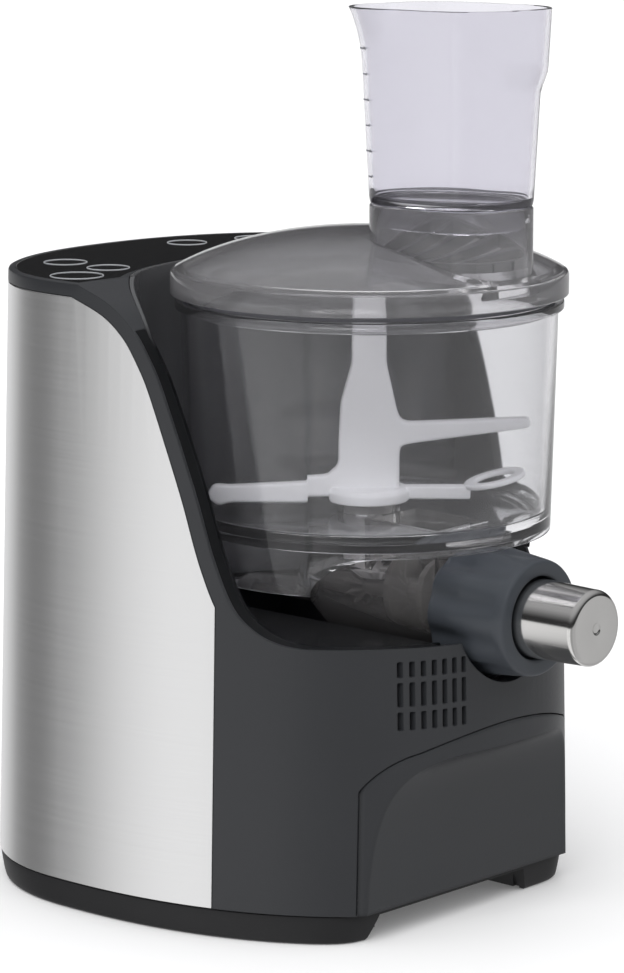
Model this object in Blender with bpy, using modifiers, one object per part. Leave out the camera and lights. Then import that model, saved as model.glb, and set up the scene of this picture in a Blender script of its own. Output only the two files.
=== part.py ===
"""An electric pasta maker: a tall housing with a brushed steel wrap, a clear mixing bowl
that stands in a recess of it, a screw that presses the dough forward through a steel nose,
a lid with a filling chute, a measuring cup on the chute, and a drawer under the bowl.

Metres, +Z up. The front, where the pasta comes out, faces -Y. The origin is on the
floor, at the middle of the machine's outline. Distances called "behind" and "ahead" are
counted along Y from the bowl's upright axis."""

import math

import bmesh
import bpy
from mathutils import Matrix, Vector

# Whole machine: its length, and the egg-shaped plan of its body at the foot and at the top
overall_length = 0.306
body_half_width = 0.1157
body_top_half_width = 0.1100
body_front_depth = 0.1640
body_top_front_depth = 0.1600
body_rear_depth = 0.0950
body_top_rear_depth = 0.0875
body_ahead_of_plan = 0.0800
plan_power = 2.2

# Heights above the floor
base_seam_height = 0.0133
shelf_height = 0.1287
wrap_top_height = 0.2716
tower_height = 0.2776
die_axis_height = 0.1380

# Housing walls, the steel wrap and the strip of housing that shows beside it
housing_wall = 0.0026
wrap_sheet = 0.0010
trim_width = 0.0065
rim_width = 0.0065
swoosh_run = 0.1090
swoosh_foot_ahead = 0.0376

# Recess that holds the bowl
recess_half_width = 0.1060
recess_rear_depth = 0.0950
recess_power = 2.3
recess_sink = 0.0032
trough_radius = 0.0358
trough_rear_depth = 0.0800
liner_wall = 0.0018
liner_front_inset = 0.0004

# Ribs of the trough that the bowl's barrel lies on
cradle_front_ahead = 0.0400
cradle_rear_ahead = 0.0020
cradle_half_width = 0.0135
cradle_thickness = 0.0040

# Bowl, barrel, nut and nose
bowl_flange_radius = 0.0855
bowl_top_radius = 0.0830
bowl_foot_radius = 0.0797
bowl_wall = 0.0024
bowl_top_height = 0.2672
bowl_floor_height = 0.1712
bowl_skirt_height = 0.1490
barrel_radius = 0.0205
barrel_wall = 0.0025
barrel_tail_radius = 0.0113
barrel_behind = 0.0710
nut_rear_ahead = 0.0580
nut_front_ahead = 0.0980
nut_rear_radius = 0.0280
nut_front_radius = 0.0250
nose_root_radius = 0.0175
nose_tip_radius = 0.0165

# Plunger that feels whether the bowl is in
lid_switch_height = 0.2650
lid_switch_radius = 0.0025

# Lid, chute and cup
lid_radius = 0.0875
lid_rim_foot_height = 0.2700
lid_rim_top_height = 0.2790
lid_dome_height = 0.2980
lid_wall = 0.0024
chute_ahead = 0.0470
chute_half_width = 0.0290
chute_half_depth = 0.0365
chute_top_height = 0.3117
chute_power = 2.7
cup_top_height = 0.3965
cup_flare = 0.0067
cup_wall = 0.0018

# Clearances: between pieces that sit together, and between pieces that turn or slide
seat_gap = 0.0003
running_gap = 0.0005
overrun = 0.0020
merge_distance = 0.00001

# The cord outlet's flange is the rearmost point
outlet_stand = 0.0020

# Places that follow from the sizes above
rear_y = overall_length / 2
nose_tip_y = -overall_length / 2
plan_y = rear_y - outlet_stand - body_rear_depth
bowl_y = plan_y - body_ahead_of_plan
bowl_floor_thickness = bowl_wall + seat_gap

quarter_turn = math.pi / 2
full_turn = math.pi * 2


def empty_scene():
    for piece in list(bpy.data.objects):
        bpy.data.objects.remove(piece, do_unlink=True)


def new_collection(name):
    group = bpy.data.collections.new(name)
    bpy.context.scene.collection.children.link(group)
    return group


empty_scene()
parts = new_collection("pasta_maker")
cutters = new_collection("pasta_maker_cutters")


def material(name, colour, roughness, metallic=0.0, alpha=1.0):
    finish = bpy.data.materials.new(name)
    finish.use_nodes = True
    shader = finish.node_tree.nodes["Principled BSDF"]
    shader.inputs["Base Color"].default_value = (*colour, 1)
    shader.inputs["Roughness"].default_value = roughness
    shader.inputs["Metallic"].default_value = metallic
    shader.inputs["Alpha"].default_value = alpha
    finish.diffuse_color = (*colour, alpha)
    return finish


housing_grey = material("housing_grey", (0.040, 0.043, 0.047), 0.42)
base_black = material("base_black", (0.020, 0.020, 0.021), 0.55)
liner_black = material("liner_black", (0.006, 0.007, 0.008), 0.25)
brushed_steel = material("brushed_steel", (0.62, 0.62, 0.61), 0.34, metallic=1.0)
polished_steel = material("polished_steel", (0.72, 0.71, 0.69), 0.16, metallic=1.0)
panel_black = material("panel_black", (0.004, 0.004, 0.005), 0.06)
foot_rubber = material("foot_rubber", (0.018, 0.018, 0.018), 0.80)
bowl_clear = material("bowl_clear", (0.62, 0.62, 0.64), 0.05, alpha=0.30)
lid_smoke = material("lid_smoke", (0.20, 0.20, 0.21), 0.08, alpha=0.55)
cup_clear = material("cup_clear", (0.74, 0.74, 0.80), 0.06, alpha=0.35)
nut_grey = material("nut_grey", (0.052, 0.058, 0.068), 0.48)
paddle_grey = material("paddle_grey", (0.60, 0.61, 0.62), 0.45)
seal_silicone = material("seal_silicone", (0.10, 0.10, 0.11), 0.60)
motor_iron = material("motor_iron", (0.22, 0.23, 0.24), 0.50, metallic=0.8)
gear_nylon = material("gear_nylon", (0.66, 0.64, 0.58), 0.50)
bearing_steel = material("bearing_steel", (0.55, 0.55, 0.56), 0.25, metallic=1.0)
board_green = material("board_green", (0.02, 0.13, 0.06), 0.50)
screw_zinc = material("screw_zinc", (0.50, 0.50, 0.48), 0.35, metallic=1.0)


def add_piece(name, mesh, finish, place=None):
    """A mesh as a visible part, or as a hidden cutter where it has no finish."""
    piece = bpy.data.objects.new(name, mesh)
    if finish is None:
        cutters.objects.link(piece)
        piece.hide_render = True
        piece.display_type = "WIRE"
    else:
        parts.objects.link(piece)
        mesh.materials.append(finish)
    if place is not None:
        piece.matrix_world = place
    return piece


def upright(x=0.0, y=bowl_y, z=0.0):
    """Local Z stays up, over a point of the floor."""
    return Matrix.Translation((x, y, z))


def lying(x=0.0, y=bowl_y, z=die_axis_height):
    """Local Z points ahead, out of the front."""
    return Matrix.Translation((x, y, z)) @ Matrix.Rotation(quarter_turn, 4, "X")


def smooth(mesh, crease_degrees=35):
    mesh.shade_smooth()
    mesh.set_sharp_from_angle(angle=math.radians(crease_degrees))


def loft(name, rings, finish, place=None, closed=False):
    """Skin over rings of equal count. The ends are capped, or a closed loft has none."""
    shape = bmesh.new()
    count = len(rings[0])
    rows = [[shape.verts.new(point) for point in ring] for ring in rings]
    pairs = list(zip(rows, rows[1:]))
    if closed:
        pairs.append((rows[-1], rows[0]))
    for low, high in pairs:
        for at in range(count):
            after = (at + 1) % count
            shape.faces.new((low[at], low[after], high[after], high[at]))
    if not closed:
        shape.faces.new(rows[0])
        shape.faces.new(rows[-1])
    bmesh.ops.recalc_face_normals(shape, faces=shape.faces)
    mesh = bpy.data.meshes.new(name)
    shape.to_mesh(mesh)
    shape.free()
    smooth(mesh)
    return add_piece(name, mesh, finish, place)


def turned(name, profile, steps, finish, place=None, ring=False):
    """A profile of (radius, height) turned about local Z. It runs down its outer side."""
    points = [(radius, 0, height) for radius, height in profile]
    edges = [(at, at + 1) for at in range(len(points) - 1)]
    if ring:
        edges.append((len(points) - 1, 0))
    mesh = bpy.data.meshes.new(name)
    mesh.from_pydata(points, edges, [])
    piece = add_piece(name, mesh, finish, place)
    turn = piece.modifiers.new("turn", "SCREW")
    turn.axis = "Z"
    turn.steps = steps
    turn.render_steps = steps
    turn.use_merge_vertices = True
    turn.merge_threshold = merge_distance
    turn.use_smooth_shade = True
    return piece


def disc(radius, low, high):
    """Profile of a plain cylinder."""
    return [(0, high), (radius, high), (radius, low), (0, low)]


def washer(outer, inner, low, high):
    """Profile of a plain ring."""
    return [(outer, high), (outer, low), (inner, low), (inner, high)]


def prism(name, outline, low, high, along, finish):
    """A flat outline made thick from low to high along X, Y or Z.

    The outline's points are (y, z) along X, (x, z) along Y and (x, y) along Z."""
    curve = bpy.data.curves.new(name, "CURVE")
    curve.dimensions = "2D"
    curve.fill_mode = "BOTH"
    curve.extrude = (high - low) / 2
    spline = curve.splines.new("POLY")
    spline.points.add(len(outline) - 1)
    for point, (across, up) in zip(spline.points, outline):
        point.co = (across, up, 0, 1)
    spline.use_cyclic_u = True
    drawn = bpy.data.objects.new(name + "_outline", curve)
    cutters.objects.link(drawn)
    evaluated = drawn.evaluated_get(bpy.context.evaluated_depsgraph_get())
    mesh = bpy.data.meshes.new_from_object(evaluated)
    bpy.data.objects.remove(drawn, do_unlink=True)
    mesh.name = name
    middle = (low + high) / 2
    turns = {
        "X": Matrix(((0, 0, 1, middle), (1, 0, 0, 0), (0, 1, 0, 0), (0, 0, 0, 1))),
        "Y": Matrix(((1, 0, 0, 0), (0, 0, -1, middle), (0, 1, 0, 0), (0, 0, 0, 1))),
        "Z": Matrix(((1, 0, 0, 0), (0, 1, 0, 0), (0, 0, 1, middle), (0, 0, 0, 1))),
    }
    shape = bmesh.new()
    shape.from_mesh(mesh)
    bmesh.ops.remove_doubles(shape, verts=shape.verts, dist=merge_distance)
    bmesh.ops.transform(shape, matrix=turns[along], verts=shape.verts)
    bmesh.ops.recalc_face_normals(shape, faces=shape.faces)
    shape.to_mesh(mesh)
    shape.free()
    mesh.materials.clear()
    smooth(mesh)
    return add_piece(name, mesh, finish)


def block(name, low, high, finish, bevel=0.0, place=None):
    """A box between two corners, with rounded edges where a bevel is given."""
    shape = bmesh.new()
    bmesh.ops.create_cube(shape, size=1)
    size = [b - a for a, b in zip(low, high)]
    middle = [(a + b) / 2 for a, b in zip(low, high)]
    bmesh.ops.scale(shape, vec=size, verts=shape.verts)
    bmesh.ops.translate(shape, vec=middle, verts=shape.verts)
    mesh = bpy.data.meshes.new(name)
    shape.to_mesh(mesh)
    shape.free()
    piece = add_piece(name, mesh, finish, place)
    if bevel:
        soften = piece.modifiers.new("round", "BEVEL")
        soften.width = bevel
        soften.segments = 2
    return piece


def change(piece, other, how, solver):
    step = piece.modifiers.new(how.lower() + "_" + other.name, "BOOLEAN")
    step.operation = how
    step.solver = solver
    step.object = other


def cut(piece, *others, solver="EXACT"):
    for other in others:
        change(piece, other, "DIFFERENCE", solver)
    return piece


def join(piece, *others, solver="EXACT"):
    for other in others:
        change(piece, other, "UNION", solver)
    return piece


def keep(piece, *others, solver="EXACT"):
    for other in others:
        change(piece, other, "INTERSECT", solver)
    return piece


def axis_empty(name, place):
    """Marks the axis of a joint, and carries the pieces that move on it."""
    empty = bpy.data.objects.new(name, None)
    parts.objects.link(empty)
    empty.empty_display_size = rim_width
    empty.matrix_world = place
    return empty


def carry(empty, *pieces):
    for piece in pieces:
        piece.parent = empty
        piece.matrix_parent_inverse = empty.matrix_basis.inverted()


def between(first, last, share):
    return first + (last - first) * share


def oval(half_width, front, rear, power, steps):
    """Points of a rounded oval, deeper or shallower in front than behind."""
    points = []
    for at in range(steps):
        angle = full_turn * at / steps
        across = math.cos(angle)
        along = math.sin(angle)
        depth = rear if along > 0 else front
        x = math.copysign(abs(across) ** (2 / power), across) * half_width
        y = math.copysign(abs(along) ** (2 / power), along) * depth
        points.append((x, y))
    return points


def round_corner(centre, radius, first_degrees, last_degrees, steps):
    """Points along an arc, for a profile or an outline."""
    points = []
    for at in range(steps + 1):
        angle = math.radians(between(first_degrees, last_degrees, at / steps))
        points.append((centre[0] + radius * math.cos(angle), centre[1] + radius * math.sin(angle)))
    return points


def through(points, steps):
    """A smooth line through all points, each stretch cut into equal steps."""
    ends = [points[0], *points, points[-1]]
    line = []
    for at in range(1, len(ends) - 2):
        before, start, end, after = (Vector(ends[at + k]) for k in (-1, 0, 1, 2))
        for step in range(steps):
            t = step / steps
            line.append(
                tuple(
                    (
                        2 * start
                        + (end - before) * t
                        + (2 * before - 5 * start + 4 * end - after) * t**2
                        + (3 * start - before - 3 * end + after) * t**3
                    )
                    / 2
                )
            )
    line.append(tuple(points[-1]))
    return line


# The body's form: an egg in plan that narrows a little towards the top

body_steps = 36


def body_ring(height, inset):
    share = (height - base_seam_height) / (tower_height - base_seam_height)
    half_width = between(body_half_width, body_top_half_width, share) - inset
    front = between(body_front_depth, body_top_front_depth, share) - inset
    rear = between(body_rear_depth, body_top_rear_depth, share) - inset
    return [
        (x, plan_y + y, height)
        for x, y in oval(half_width, front, rear, plan_power, body_steps)
    ]


def body_form(name, low, high, inset, finish=None):
    return loft(name, [body_ring(low, inset), body_ring(high, inset)], finish)


# Side outline of the tower's front edge, as shares of the run along Y and the rise to the top
swoosh_shares = (
    (0.000, 0.000),
    (0.087, 0.012),
    (0.173, 0.044),
    (0.257, 0.109),
    (0.336, 0.245),
    (0.421, 0.443),
    (0.555, 0.703),
    (0.629, 0.810),
    (0.712, 0.892),
    (0.830, 0.955),
    (1.000, 1.000),
)
swoosh_steps = 2
wrap_foot_share = 0.100


def swoosh_line(setback):
    """The tower's front edge in (y, z), moved back into the tower by a setback."""
    rise = tower_height - shelf_height
    line = through(
        [
            (bowl_y - swoosh_foot_ahead + along * swoosh_run, shelf_height + up * rise)
            for along, up in swoosh_shares
        ],
        swoosh_steps,
    )
    moved = []
    for at, (y, z) in enumerate(line):
        y0, z0 = line[max(at - 1, 0)]
        y1, z1 = line[min(at + 1, len(line) - 1)]
        step = math.hypot(y1 - y0, z1 - z0)
        moved.append((y + (z1 - z0) / step * setback, z - (y1 - y0) / step * setback))
    return moved


far_ahead = nose_tip_y - overrun
far_up = cup_top_height
far_across = body_half_width + overrun


def open_front(name, setback):
    """All that lies in front of the tower and over the shelf."""
    line = swoosh_line(setback)
    outline = [(far_ahead, line[0][1]), *line, (line[-1][0], far_up), (far_ahead, far_up)]
    return prism(name, outline, -far_across, far_across, "X", None)


def wrap_front(name, gap):
    """All that lies in front of the steel wrap's edge, which ends upright at its foot."""
    rise = tower_height - shelf_height
    foot = shelf_height + wrap_foot_share * rise
    line = [point for point in swoosh_line(trim_width - gap) if point[1] > foot]
    outline = [
        (far_ahead, -overrun),
        (line[0][0], -overrun),
        *line,
        (line[-1][0], far_up),
        (far_ahead, far_up),
    ]
    return prism(name, outline, -far_across, far_across, "X", None)


def recess_form(name, grow, ceiling=far_up, finish=None):
    """The hollow that the bowl stands in, with the trough that its barrel lies in."""
    floor = shelf_height - recess_sink - grow
    plan = oval(
        recess_half_width + grow,
        overall_length,
        recess_rear_depth + grow,
        recess_power,
        body_steps,
    )
    hollow = loft(
        name,
        [[(x, bowl_y + y, height) for x, y in plan] for height in (floor, ceiling)],
        finish,
    )
    inside = body_form(name + "_rim", -overrun, ceiling + overrun, rim_width - grow)
    keep(hollow, inside)
    ahead = bowl_y - far_ahead + overrun
    trough = turned(
        name + "_trough",
        disc(trough_radius + grow, -trough_rear_depth - grow, ahead),
        32,
        None,
        lying(),
    )
    return join(hollow, trough)


# Drawer opening: an arch that fills the lower front of the housing

drawer_half_width = 0.0757
drawer_top_half_width = 0.0730
drawer_shoulder_height = 0.0835
drawer_crown = 0.0075
drawer_corner_radius = 0.0200
drawer_crown_shares = (0.6, 0.3, 0)


def drawer_outline(grow):
    """The arch in (x, z), counter-clockwise from its right foot."""
    foot = base_seam_height + seat_gap - grow
    corner_x = drawer_top_half_width + grow - drawer_corner_radius
    corner_z = drawer_shoulder_height + grow - drawer_corner_radius
    right = [(drawer_half_width + grow, foot)]
    right += round_corner((corner_x, corner_z), drawer_corner_radius, 0, 78, 5)
    crown = []
    for share in drawer_crown_shares:
        drop = share**2
        x = right[-1][0] * share
        top = drawer_shoulder_height + grow + drawer_crown
        crown.append((x, between(top, right[-1][1], drop)))
    half = right + crown
    return half + [(-x, z) for x, z in reversed(half[:-1])]


# Casing

base_foot_height = 0.0012
base_top_height = base_seam_height - seat_gap
base_plate = 0.0026
base_skirt = 0.0032
base_front_ahead = 0.0560
base_corner = 0.0040
base_step = 0.0005
# Skirt in (share of its height, share of the draw at its foot)
base_skirt_shares = ((0.00, 1.00), (0.30, 0.38), (0.62, 0.10), (1.00, 0.00))
base_draw = 0.0090
base_notch_half_width = 0.0420
foot_radius = 0.0095
foot_pad = 0.0025
foot_recess_height = 0.0030
foot_stud_radius = 0.0030
foot_front_x = 0.0600
foot_front_ahead = 0.0420
foot_rear_x = 0.0720
foot_rear_behind = 0.1220
screw_radius = 0.0018
screw_head_radius = 0.0034
screw_head_height = 0.0060
boss_radius = 0.0052
boss_height = 0.0220
boss_front_degrees = -22
boss_rear_degrees = 38
base_vent_length = 0.0460
base_vent_width = 0.0030
base_vent_pitch = 0.0080
base_vent_count = 5
base_vent_behind = 0.0660
drawer_runner_x = 0.0440
drawer_runner_width = 0.0040


def foot_places():
    places = {}
    for side, sign in (("left", -1), ("right", 1)):
        places["foot_front_" + side] = (sign * foot_front_x, bowl_y - foot_front_ahead)
        places["foot_rear_" + side] = (sign * foot_rear_x, bowl_y + foot_rear_behind)
    return places


def boss_places():
    """Where the base is screwed on: bosses that lean on the housing's wall."""
    inset = housing_wall + wrap_sheet + boss_radius
    places = {}
    for end, degrees in (("front", boss_front_degrees), ("rear", boss_rear_degrees)):
        angle = math.radians(degrees)
        depth = body_rear_depth if degrees > 0 else body_front_depth
        x = (body_half_width - inset) * math.cos(angle) ** (2 / plan_power)
        y = abs(math.sin(angle)) ** (2 / plan_power) * (depth - inset)
        y = plan_y + math.copysign(y, degrees)
        places[f"base_screw_{end}_left"] = (-x, y)
        places[f"base_screw_{end}_right"] = (x, y)
    return places


def base_ring(height, inset):
    """The body's plan, held back in front along a line with soft corners."""
    front = bowl_y - base_front_ahead + inset
    ring = []
    for x, y, _ in body_ring(base_seam_height, inset):
        past = (y - front) / base_corner
        y = front + base_corner * (math.log1p(math.exp(-abs(past))) + max(past, 0))
        ring.append((x, y, height))
    return ring


def make_base_tray():
    """A plate with a skirt that draws in to the floor, open below, with pads for the feet."""
    low, high = base_foot_height, base_top_height
    rings = [
        base_ring(between(low, high, up), base_step + base_draw * draw)
        for up, draw in base_skirt_shares
    ]
    tray = loft("base_tray", rings, base_black)
    heights = (low - overrun, high - base_plate)
    hollow = loft(
        "base_hollow", [base_ring(height, base_draw + base_skirt) for height in heights], None
    )
    for name, (x, y) in foot_places().items():
        pad = turned(
            name + "_pad",
            disc(foot_radius + foot_pad, foot_recess_height, high),
            12,
            None,
            upright(x, y),
        )
        cut(hollow, pad)
    notch = block(
        "base_notch",
        (-base_notch_half_width, far_ahead, low - overrun),
        (
            base_notch_half_width,
            bowl_y - base_front_ahead + base_draw + base_skirt + overrun,
            high - base_plate,
        ),
        None,
    )
    cut(tray, hollow, notch)
    for name, (x, y) in foot_places().items():
        hole = turned(
            name + "_hole",
            disc(foot_stud_radius + seat_gap, -overrun, base_top_height + overrun),
            12,
            None,
            upright(x, y),
        )
        recess = turned(
            name + "_recess",
            disc(foot_radius + seat_gap, -overrun, foot_recess_height + overrun / 2),
            12,
            None,
            upright(x, y),
        )
        cut(tray, hole, recess)
    for name, (x, y) in boss_places().items():
        hole = turned(
            name + "_hole",
            disc(screw_radius + seat_gap, -overrun, base_top_height + overrun),
            8,
            None,
            upright(x, y),
        )
        head_room = turned(
            name + "_head_room",
            disc(screw_head_radius + seat_gap, -overrun, screw_head_height),
            8,
            None,
            upright(x, y),
        )
        cut(tray, hole, head_room)
    first = -(base_vent_count - 1) / 2
    for at in range(base_vent_count):
        y = bowl_y + base_vent_behind + (first + at) * base_vent_pitch
        vent = block(
            f"base_vent_{at}",
            (-base_vent_length / 2, y - base_vent_width / 2, -overrun),
            (base_vent_length / 2, y + base_vent_width / 2, base_seam_height),
            None,
        )
        cut(tray, vent)
    for side, sign in (("left", -1), ("right", 1)):
        edges = sorted((sign * drawer_runner_x, sign * (drawer_runner_x + drawer_runner_width)))
        runner = block(
            "drawer_runner_" + side,
            (
                edges[0],
                bowl_y - drawer_face_behind_front + overrun,
                base_top_height - base_plate / 2,
            ),
            (edges[1], bowl_y + drawer_tray_behind, drawer_tray_foot - seat_gap),
            None,
        )
        join(tray, runner)


def make_feet():
    bevel = foot_radius / 8
    stud_top = base_top_height - seat_gap
    plate = foot_recess_height + overrun / 2 - seat_gap
    for name, (x, y) in foot_places().items():
        profile = [
            (0, stud_top),
            (foot_stud_radius, stud_top),
            (foot_stud_radius, plate),
            (foot_radius, plate),
            (foot_radius, bevel),
            (foot_radius - bevel, 0),
            (0, 0),
        ]
        turned(name, profile, 12, foot_rubber, upright(x, y))


def make_base_screws():
    head_high = screw_head_height - seat_gap
    head_low = head_high - screw_radius
    tip = base_seam_height + boss_height / 2
    for name, (x, y) in boss_places().items():
        profile = [
            (0, tip),
            (screw_radius, tip - screw_radius),
            (screw_radius, head_high),
            (screw_head_radius, head_high),
            (screw_head_radius * 0.8, head_low),
            (0, head_low),
        ]
        turned(name, profile, 8, screw_zinc, upright(x, y))


# Grille: rows of upright slots in the left of the front
grille_columns = 7
grille_pitch = 0.0046
grille_slot_width = 0.0023
grille_middle_x = -0.0520
grille_top_height = 0.1232
grille_slot_height = 0.0105
grille_slot_height_shares = (0.65, 1.00, 0.76)
grille_bar_height = 0.0022


def cut_grille(housing):
    first = grille_middle_x - grille_pitch * (grille_columns - 1) / 2
    for column in range(grille_columns):
        x = first + column * grille_pitch
        top = grille_top_height
        for row, share in enumerate(grille_slot_height_shares):
            height = grille_slot_height * share
            slot = block(
                f"grille_slot_{column}_{row}",
                (x - grille_slot_width / 2, far_ahead, top - height),
                (x + grille_slot_width / 2, bowl_y, top),
                None,
            )
            cut(housing, slot)
            top -= height + grille_bar_height


# Control panel: dark glass let into the top behind the bowl
panel_thickness = 0.0022
panel_rim = 0.0034
panel_front_half_width = 0.1250
panel_front_behind = 0.0965
board_drop = 0.0090
board_thickness = 0.0016


def panel_form(name, low, high, grow, finish=None):
    plate = body_form(name, low, high, panel_rim - grow, finish)
    plan = oval(
        panel_front_half_width - grow, overall_length, panel_front_behind - grow, 2, body_steps
    )
    clear = loft(
        name + "_front",
        [
            [(x, bowl_y + y, height) for x, y in plan]
            for height in (low - overrun, high + overrun)
        ],
        None,
    )
    return cut(plate, clear, open_front(name + "_shoulder", panel_rim - grow))


def make_main_housing():
    housing = body_form(
        "main_housing", base_seam_height, tower_height, 0, housing_grey
    )
    wrap_room = body_form(
        "wrap_room", -overrun, wrap_top_height + seat_gap, -overrun
    )
    wrap_core = body_form(
        "wrap_core",
        -overrun * 2,
        wrap_top_height + overrun,
        wrap_sheet + seat_gap,
    )
    cut(wrap_room, wrap_core, wrap_front("wrap_room_front", seat_gap))

    cavity = body_form(
        "housing_cavity",
        -overrun,
        tower_height - panel_thickness - housing_wall,
        housing_wall + wrap_sheet + seat_gap,
    )
    cut(cavity, open_front("cavity_front", housing_wall))
    for name, (x, y) in boss_places().items():
        boss = turned(
            name + "_boss",
            disc(boss_radius, -overrun * 2, base_seam_height + boss_height),
            12,
            None,
            upright(x, y),
        )
        cut(cavity, boss)
    cut(
        housing,
        wrap_room,
        open_front("housing_front", 0),
        recess_form("housing_recess", 0),
        cavity,
    )
    for name, (x, y) in boss_places().items():
        hole = turned(
            name + "_pilot",
            disc(screw_radius + seat_gap, -overrun, base_seam_height + boss_height / 2 + overrun),
            8,
            None,
            upright(x, y),
        )
        cut(housing, hole)
    pocket = panel_form(
        "panel_pocket", tower_height - panel_thickness, tower_height + overrun, seat_gap
    )
    opening = prism(
        "drawer_opening",
        drawer_outline(running_gap),
        far_ahead,
        bowl_y - drawer_face_behind_front,
        "Y",
        None,
    )
    cut(housing, pocket, opening)
    cut_grille(housing)


def make_recess_liner():
    liner = recess_form("recess_liner", -seat_gap, tower_height, liner_black)
    inside = recess_form("liner_inside", -seat_gap - liner_wall)
    shaft_hole = turned(
        "liner_shaft_hole",
        disc(shaft_collar_radius + running_gap, -motor_behind, -trough_rear_depth + trough_radius),
        24,
        None,
        lying(),
    )
    switch_hole = turned(
        "liner_switch_hole",
        disc(lid_switch_radius + seat_gap, -motor_behind, -recess_rear_depth + trough_radius),
        16,
        None,
        lying(z=lid_switch_height),
    )
    limit = body_form("liner_limit", -overrun, tower_height + overrun, liner_front_inset)
    front = open_front("liner_front", seat_gap)
    cut(liner, inside, front, shaft_hole, switch_hole, solver="MANIFOLD")
    keep(liner, limit, solver="MANIFOLD")
    barrel_room = turned(
        "liner_barrel_room",
        disc(barrel_radius + seat_gap, -barrel_flare_front, barrel_front_ahead),
        32,
        None,
        lying(),
    )
    trough_core = turned(
        "liner_trough_core",
        disc(trough_radius - liner_wall / 2, -trough_rear_depth, barrel_front_ahead),
        32,
        None,
        lying(),
    )
    for end, ahead in (("front", cradle_front_ahead), ("rear", cradle_rear_ahead)):
        rib = block(
            "cradle_rib_" + end,
            (-cradle_half_width, -ahead - cradle_thickness / 2, -trough_radius),
            (cradle_half_width, -ahead + cradle_thickness / 2, -barrel_radius / 2),
            None,
            place=upright(z=die_axis_height),
        )
        keep(rib, trough_core)
        cut(rib, barrel_room)
        join(liner, rib, solver="MANIFOLD")


def make_steel_wrap():
    wrap = body_form(
        "steel_wrap", base_seam_height + seat_gap, wrap_top_height, 0, brushed_steel
    )
    inside = body_form("wrap_inside", -overrun, tower_height, wrap_sheet)
    cut(wrap, inside, wrap_front("wrap_edge", 0))


def make_control_panel():
    panel_form(
        "control_panel",
        tower_height - panel_thickness + seat_gap,
        tower_height,
        0,
        panel_black,
    )


# Drive: motor low in the housing, a train of two pairs of gears, and the shaft to the screw

motor_axis_height = 0.0550
motor_radius = 0.0330
motor_front_behind = 0.0400
motor_behind = 0.1150
motor_shell = 0.0030
motor_shaft_radius = 0.0040
rotor_core_radius = 0.0190
fan_radius = 0.0300
fan_front_behind = 0.0260
fan_rear_behind = 0.0370
fan_blades = 7
fan_blade_thickness = 0.0020
gearbox_front_behind = 0.1155
gearbox_rear_behind = 0.1500
gearbox_half_width = 0.0460
gearbox_wall = 0.0026
gearbox_cover_thickness = 0.0030
gear_thickness = 0.0070
fast_module = 0.00180
pinion_teeth = 9
idler_large_teeth = 27
idler_small_teeth = 9
output_teeth = 31
mesh_slack = 0.00015
idler_pin_radius = 0.0030
shaft_radius = 0.0050
shaft_collar_radius = 0.0090
shaft_hex_flats = 0.0070
shaft_hex_reach = 0.0120
bearing_radius = 0.0095
bearing_width = 0.0050

fast_distance = fast_module * (pinion_teeth + idler_large_teeth) / 2 + mesh_slack
idler_axis_height = motor_axis_height + fast_distance
slow_distance = die_axis_height - idler_axis_height
slow_pitch = slow_distance - mesh_slack
slow_true_module = slow_pitch * 2 / (idler_small_teeth + output_teeth)


def gear_rings(teeth, module, low, high, phase_degrees):
    """Rings of a spur gear without a bore, with four points for a tooth."""
    tooth = full_turn / teeth
    pitch = teeth * module / 2
    tip = pitch + module * 0.85
    root = pitch - module * 1.15
    shares = ((-0.27, root), (-0.11, tip), (0.11, tip), (0.27, root))
    outline = []
    for at in range(teeth):
        for share, radius in shares:
            angle = math.radians(phase_degrees) + (at + share) * tooth
            outline.append((radius * math.cos(angle), radius * math.sin(angle)))
    return [[(x, y, height) for x, y in outline] for height in (low, high)]


def gear(name, teeth, module, low, high, phase_degrees, finish, place):
    return loft(name, gear_rings(teeth, module, low, high, phase_degrees), finish, place)


def make_motor():
    room = rotor_core_radius + running_gap * 3
    hole = motor_shaft_radius + running_gap
    front = -motor_front_behind
    rear = -motor_behind
    end = motor_radius / 8
    place = lying(z=motor_axis_height)
    profile = [
        (motor_radius - end, front),
        (motor_radius, front - end),
        (motor_radius, rear + end),
        (motor_radius - end, rear),
        (hole, rear),
        (hole, rear + motor_shell),
        (room, rear + motor_shell),
        (room, front - motor_shell),
        (hole, front - motor_shell),
        (hole, front),
    ]
    turned("motor_case", profile, 16, motor_iron, place, ring=True)

    core_gap = running_gap * 2
    shaft_front = -fan_front_behind
    shaft_rear = -gearbox_rear_behind + gearbox_wall + running_gap
    rotor_profile = [
        (0, shaft_front),
        (motor_shaft_radius, shaft_front),
        (motor_shaft_radius, front - motor_shell - core_gap),
        (rotor_core_radius, front - motor_shell - core_gap),
        (rotor_core_radius, rear + motor_shell + core_gap),
        (motor_shaft_radius, rear + motor_shell + core_gap),
        (motor_shaft_radius, shaft_rear),
        (0, shaft_rear),
    ]
    rotor = turned("motor_rotor", rotor_profile, 16, bearing_steel, place)
    back = -gearbox_front_behind - gearbox_cover_thickness - running_gap
    pinion = gear(
        "motor_pinion_teeth",
        pinion_teeth,
        fast_module,
        back - gear_thickness,
        back,
        90,
        None,
        place,
    )
    join(rotor, pinion)

    hub_radius = motor_shaft_radius + seat_gap
    fan = turned(
        "cooling_fan",
        washer(hub_radius * 2, hub_radius, -fan_rear_behind, -fan_front_behind),
        16,
        gear_nylon,
        place,
        ring=True,
    )
    for at in range(fan_blades):
        spin = Matrix.Rotation(full_turn * at / fan_blades, 4, "Z")
        blade = block(
            f"fan_blade_{at}",
            (hub_radius * 1.6, -fan_blade_thickness / 2, -fan_rear_behind),
            (fan_radius, fan_blade_thickness / 2, -fan_front_behind),
            None,
            place=place @ spin,
        )
        join(fan, blade)


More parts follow.
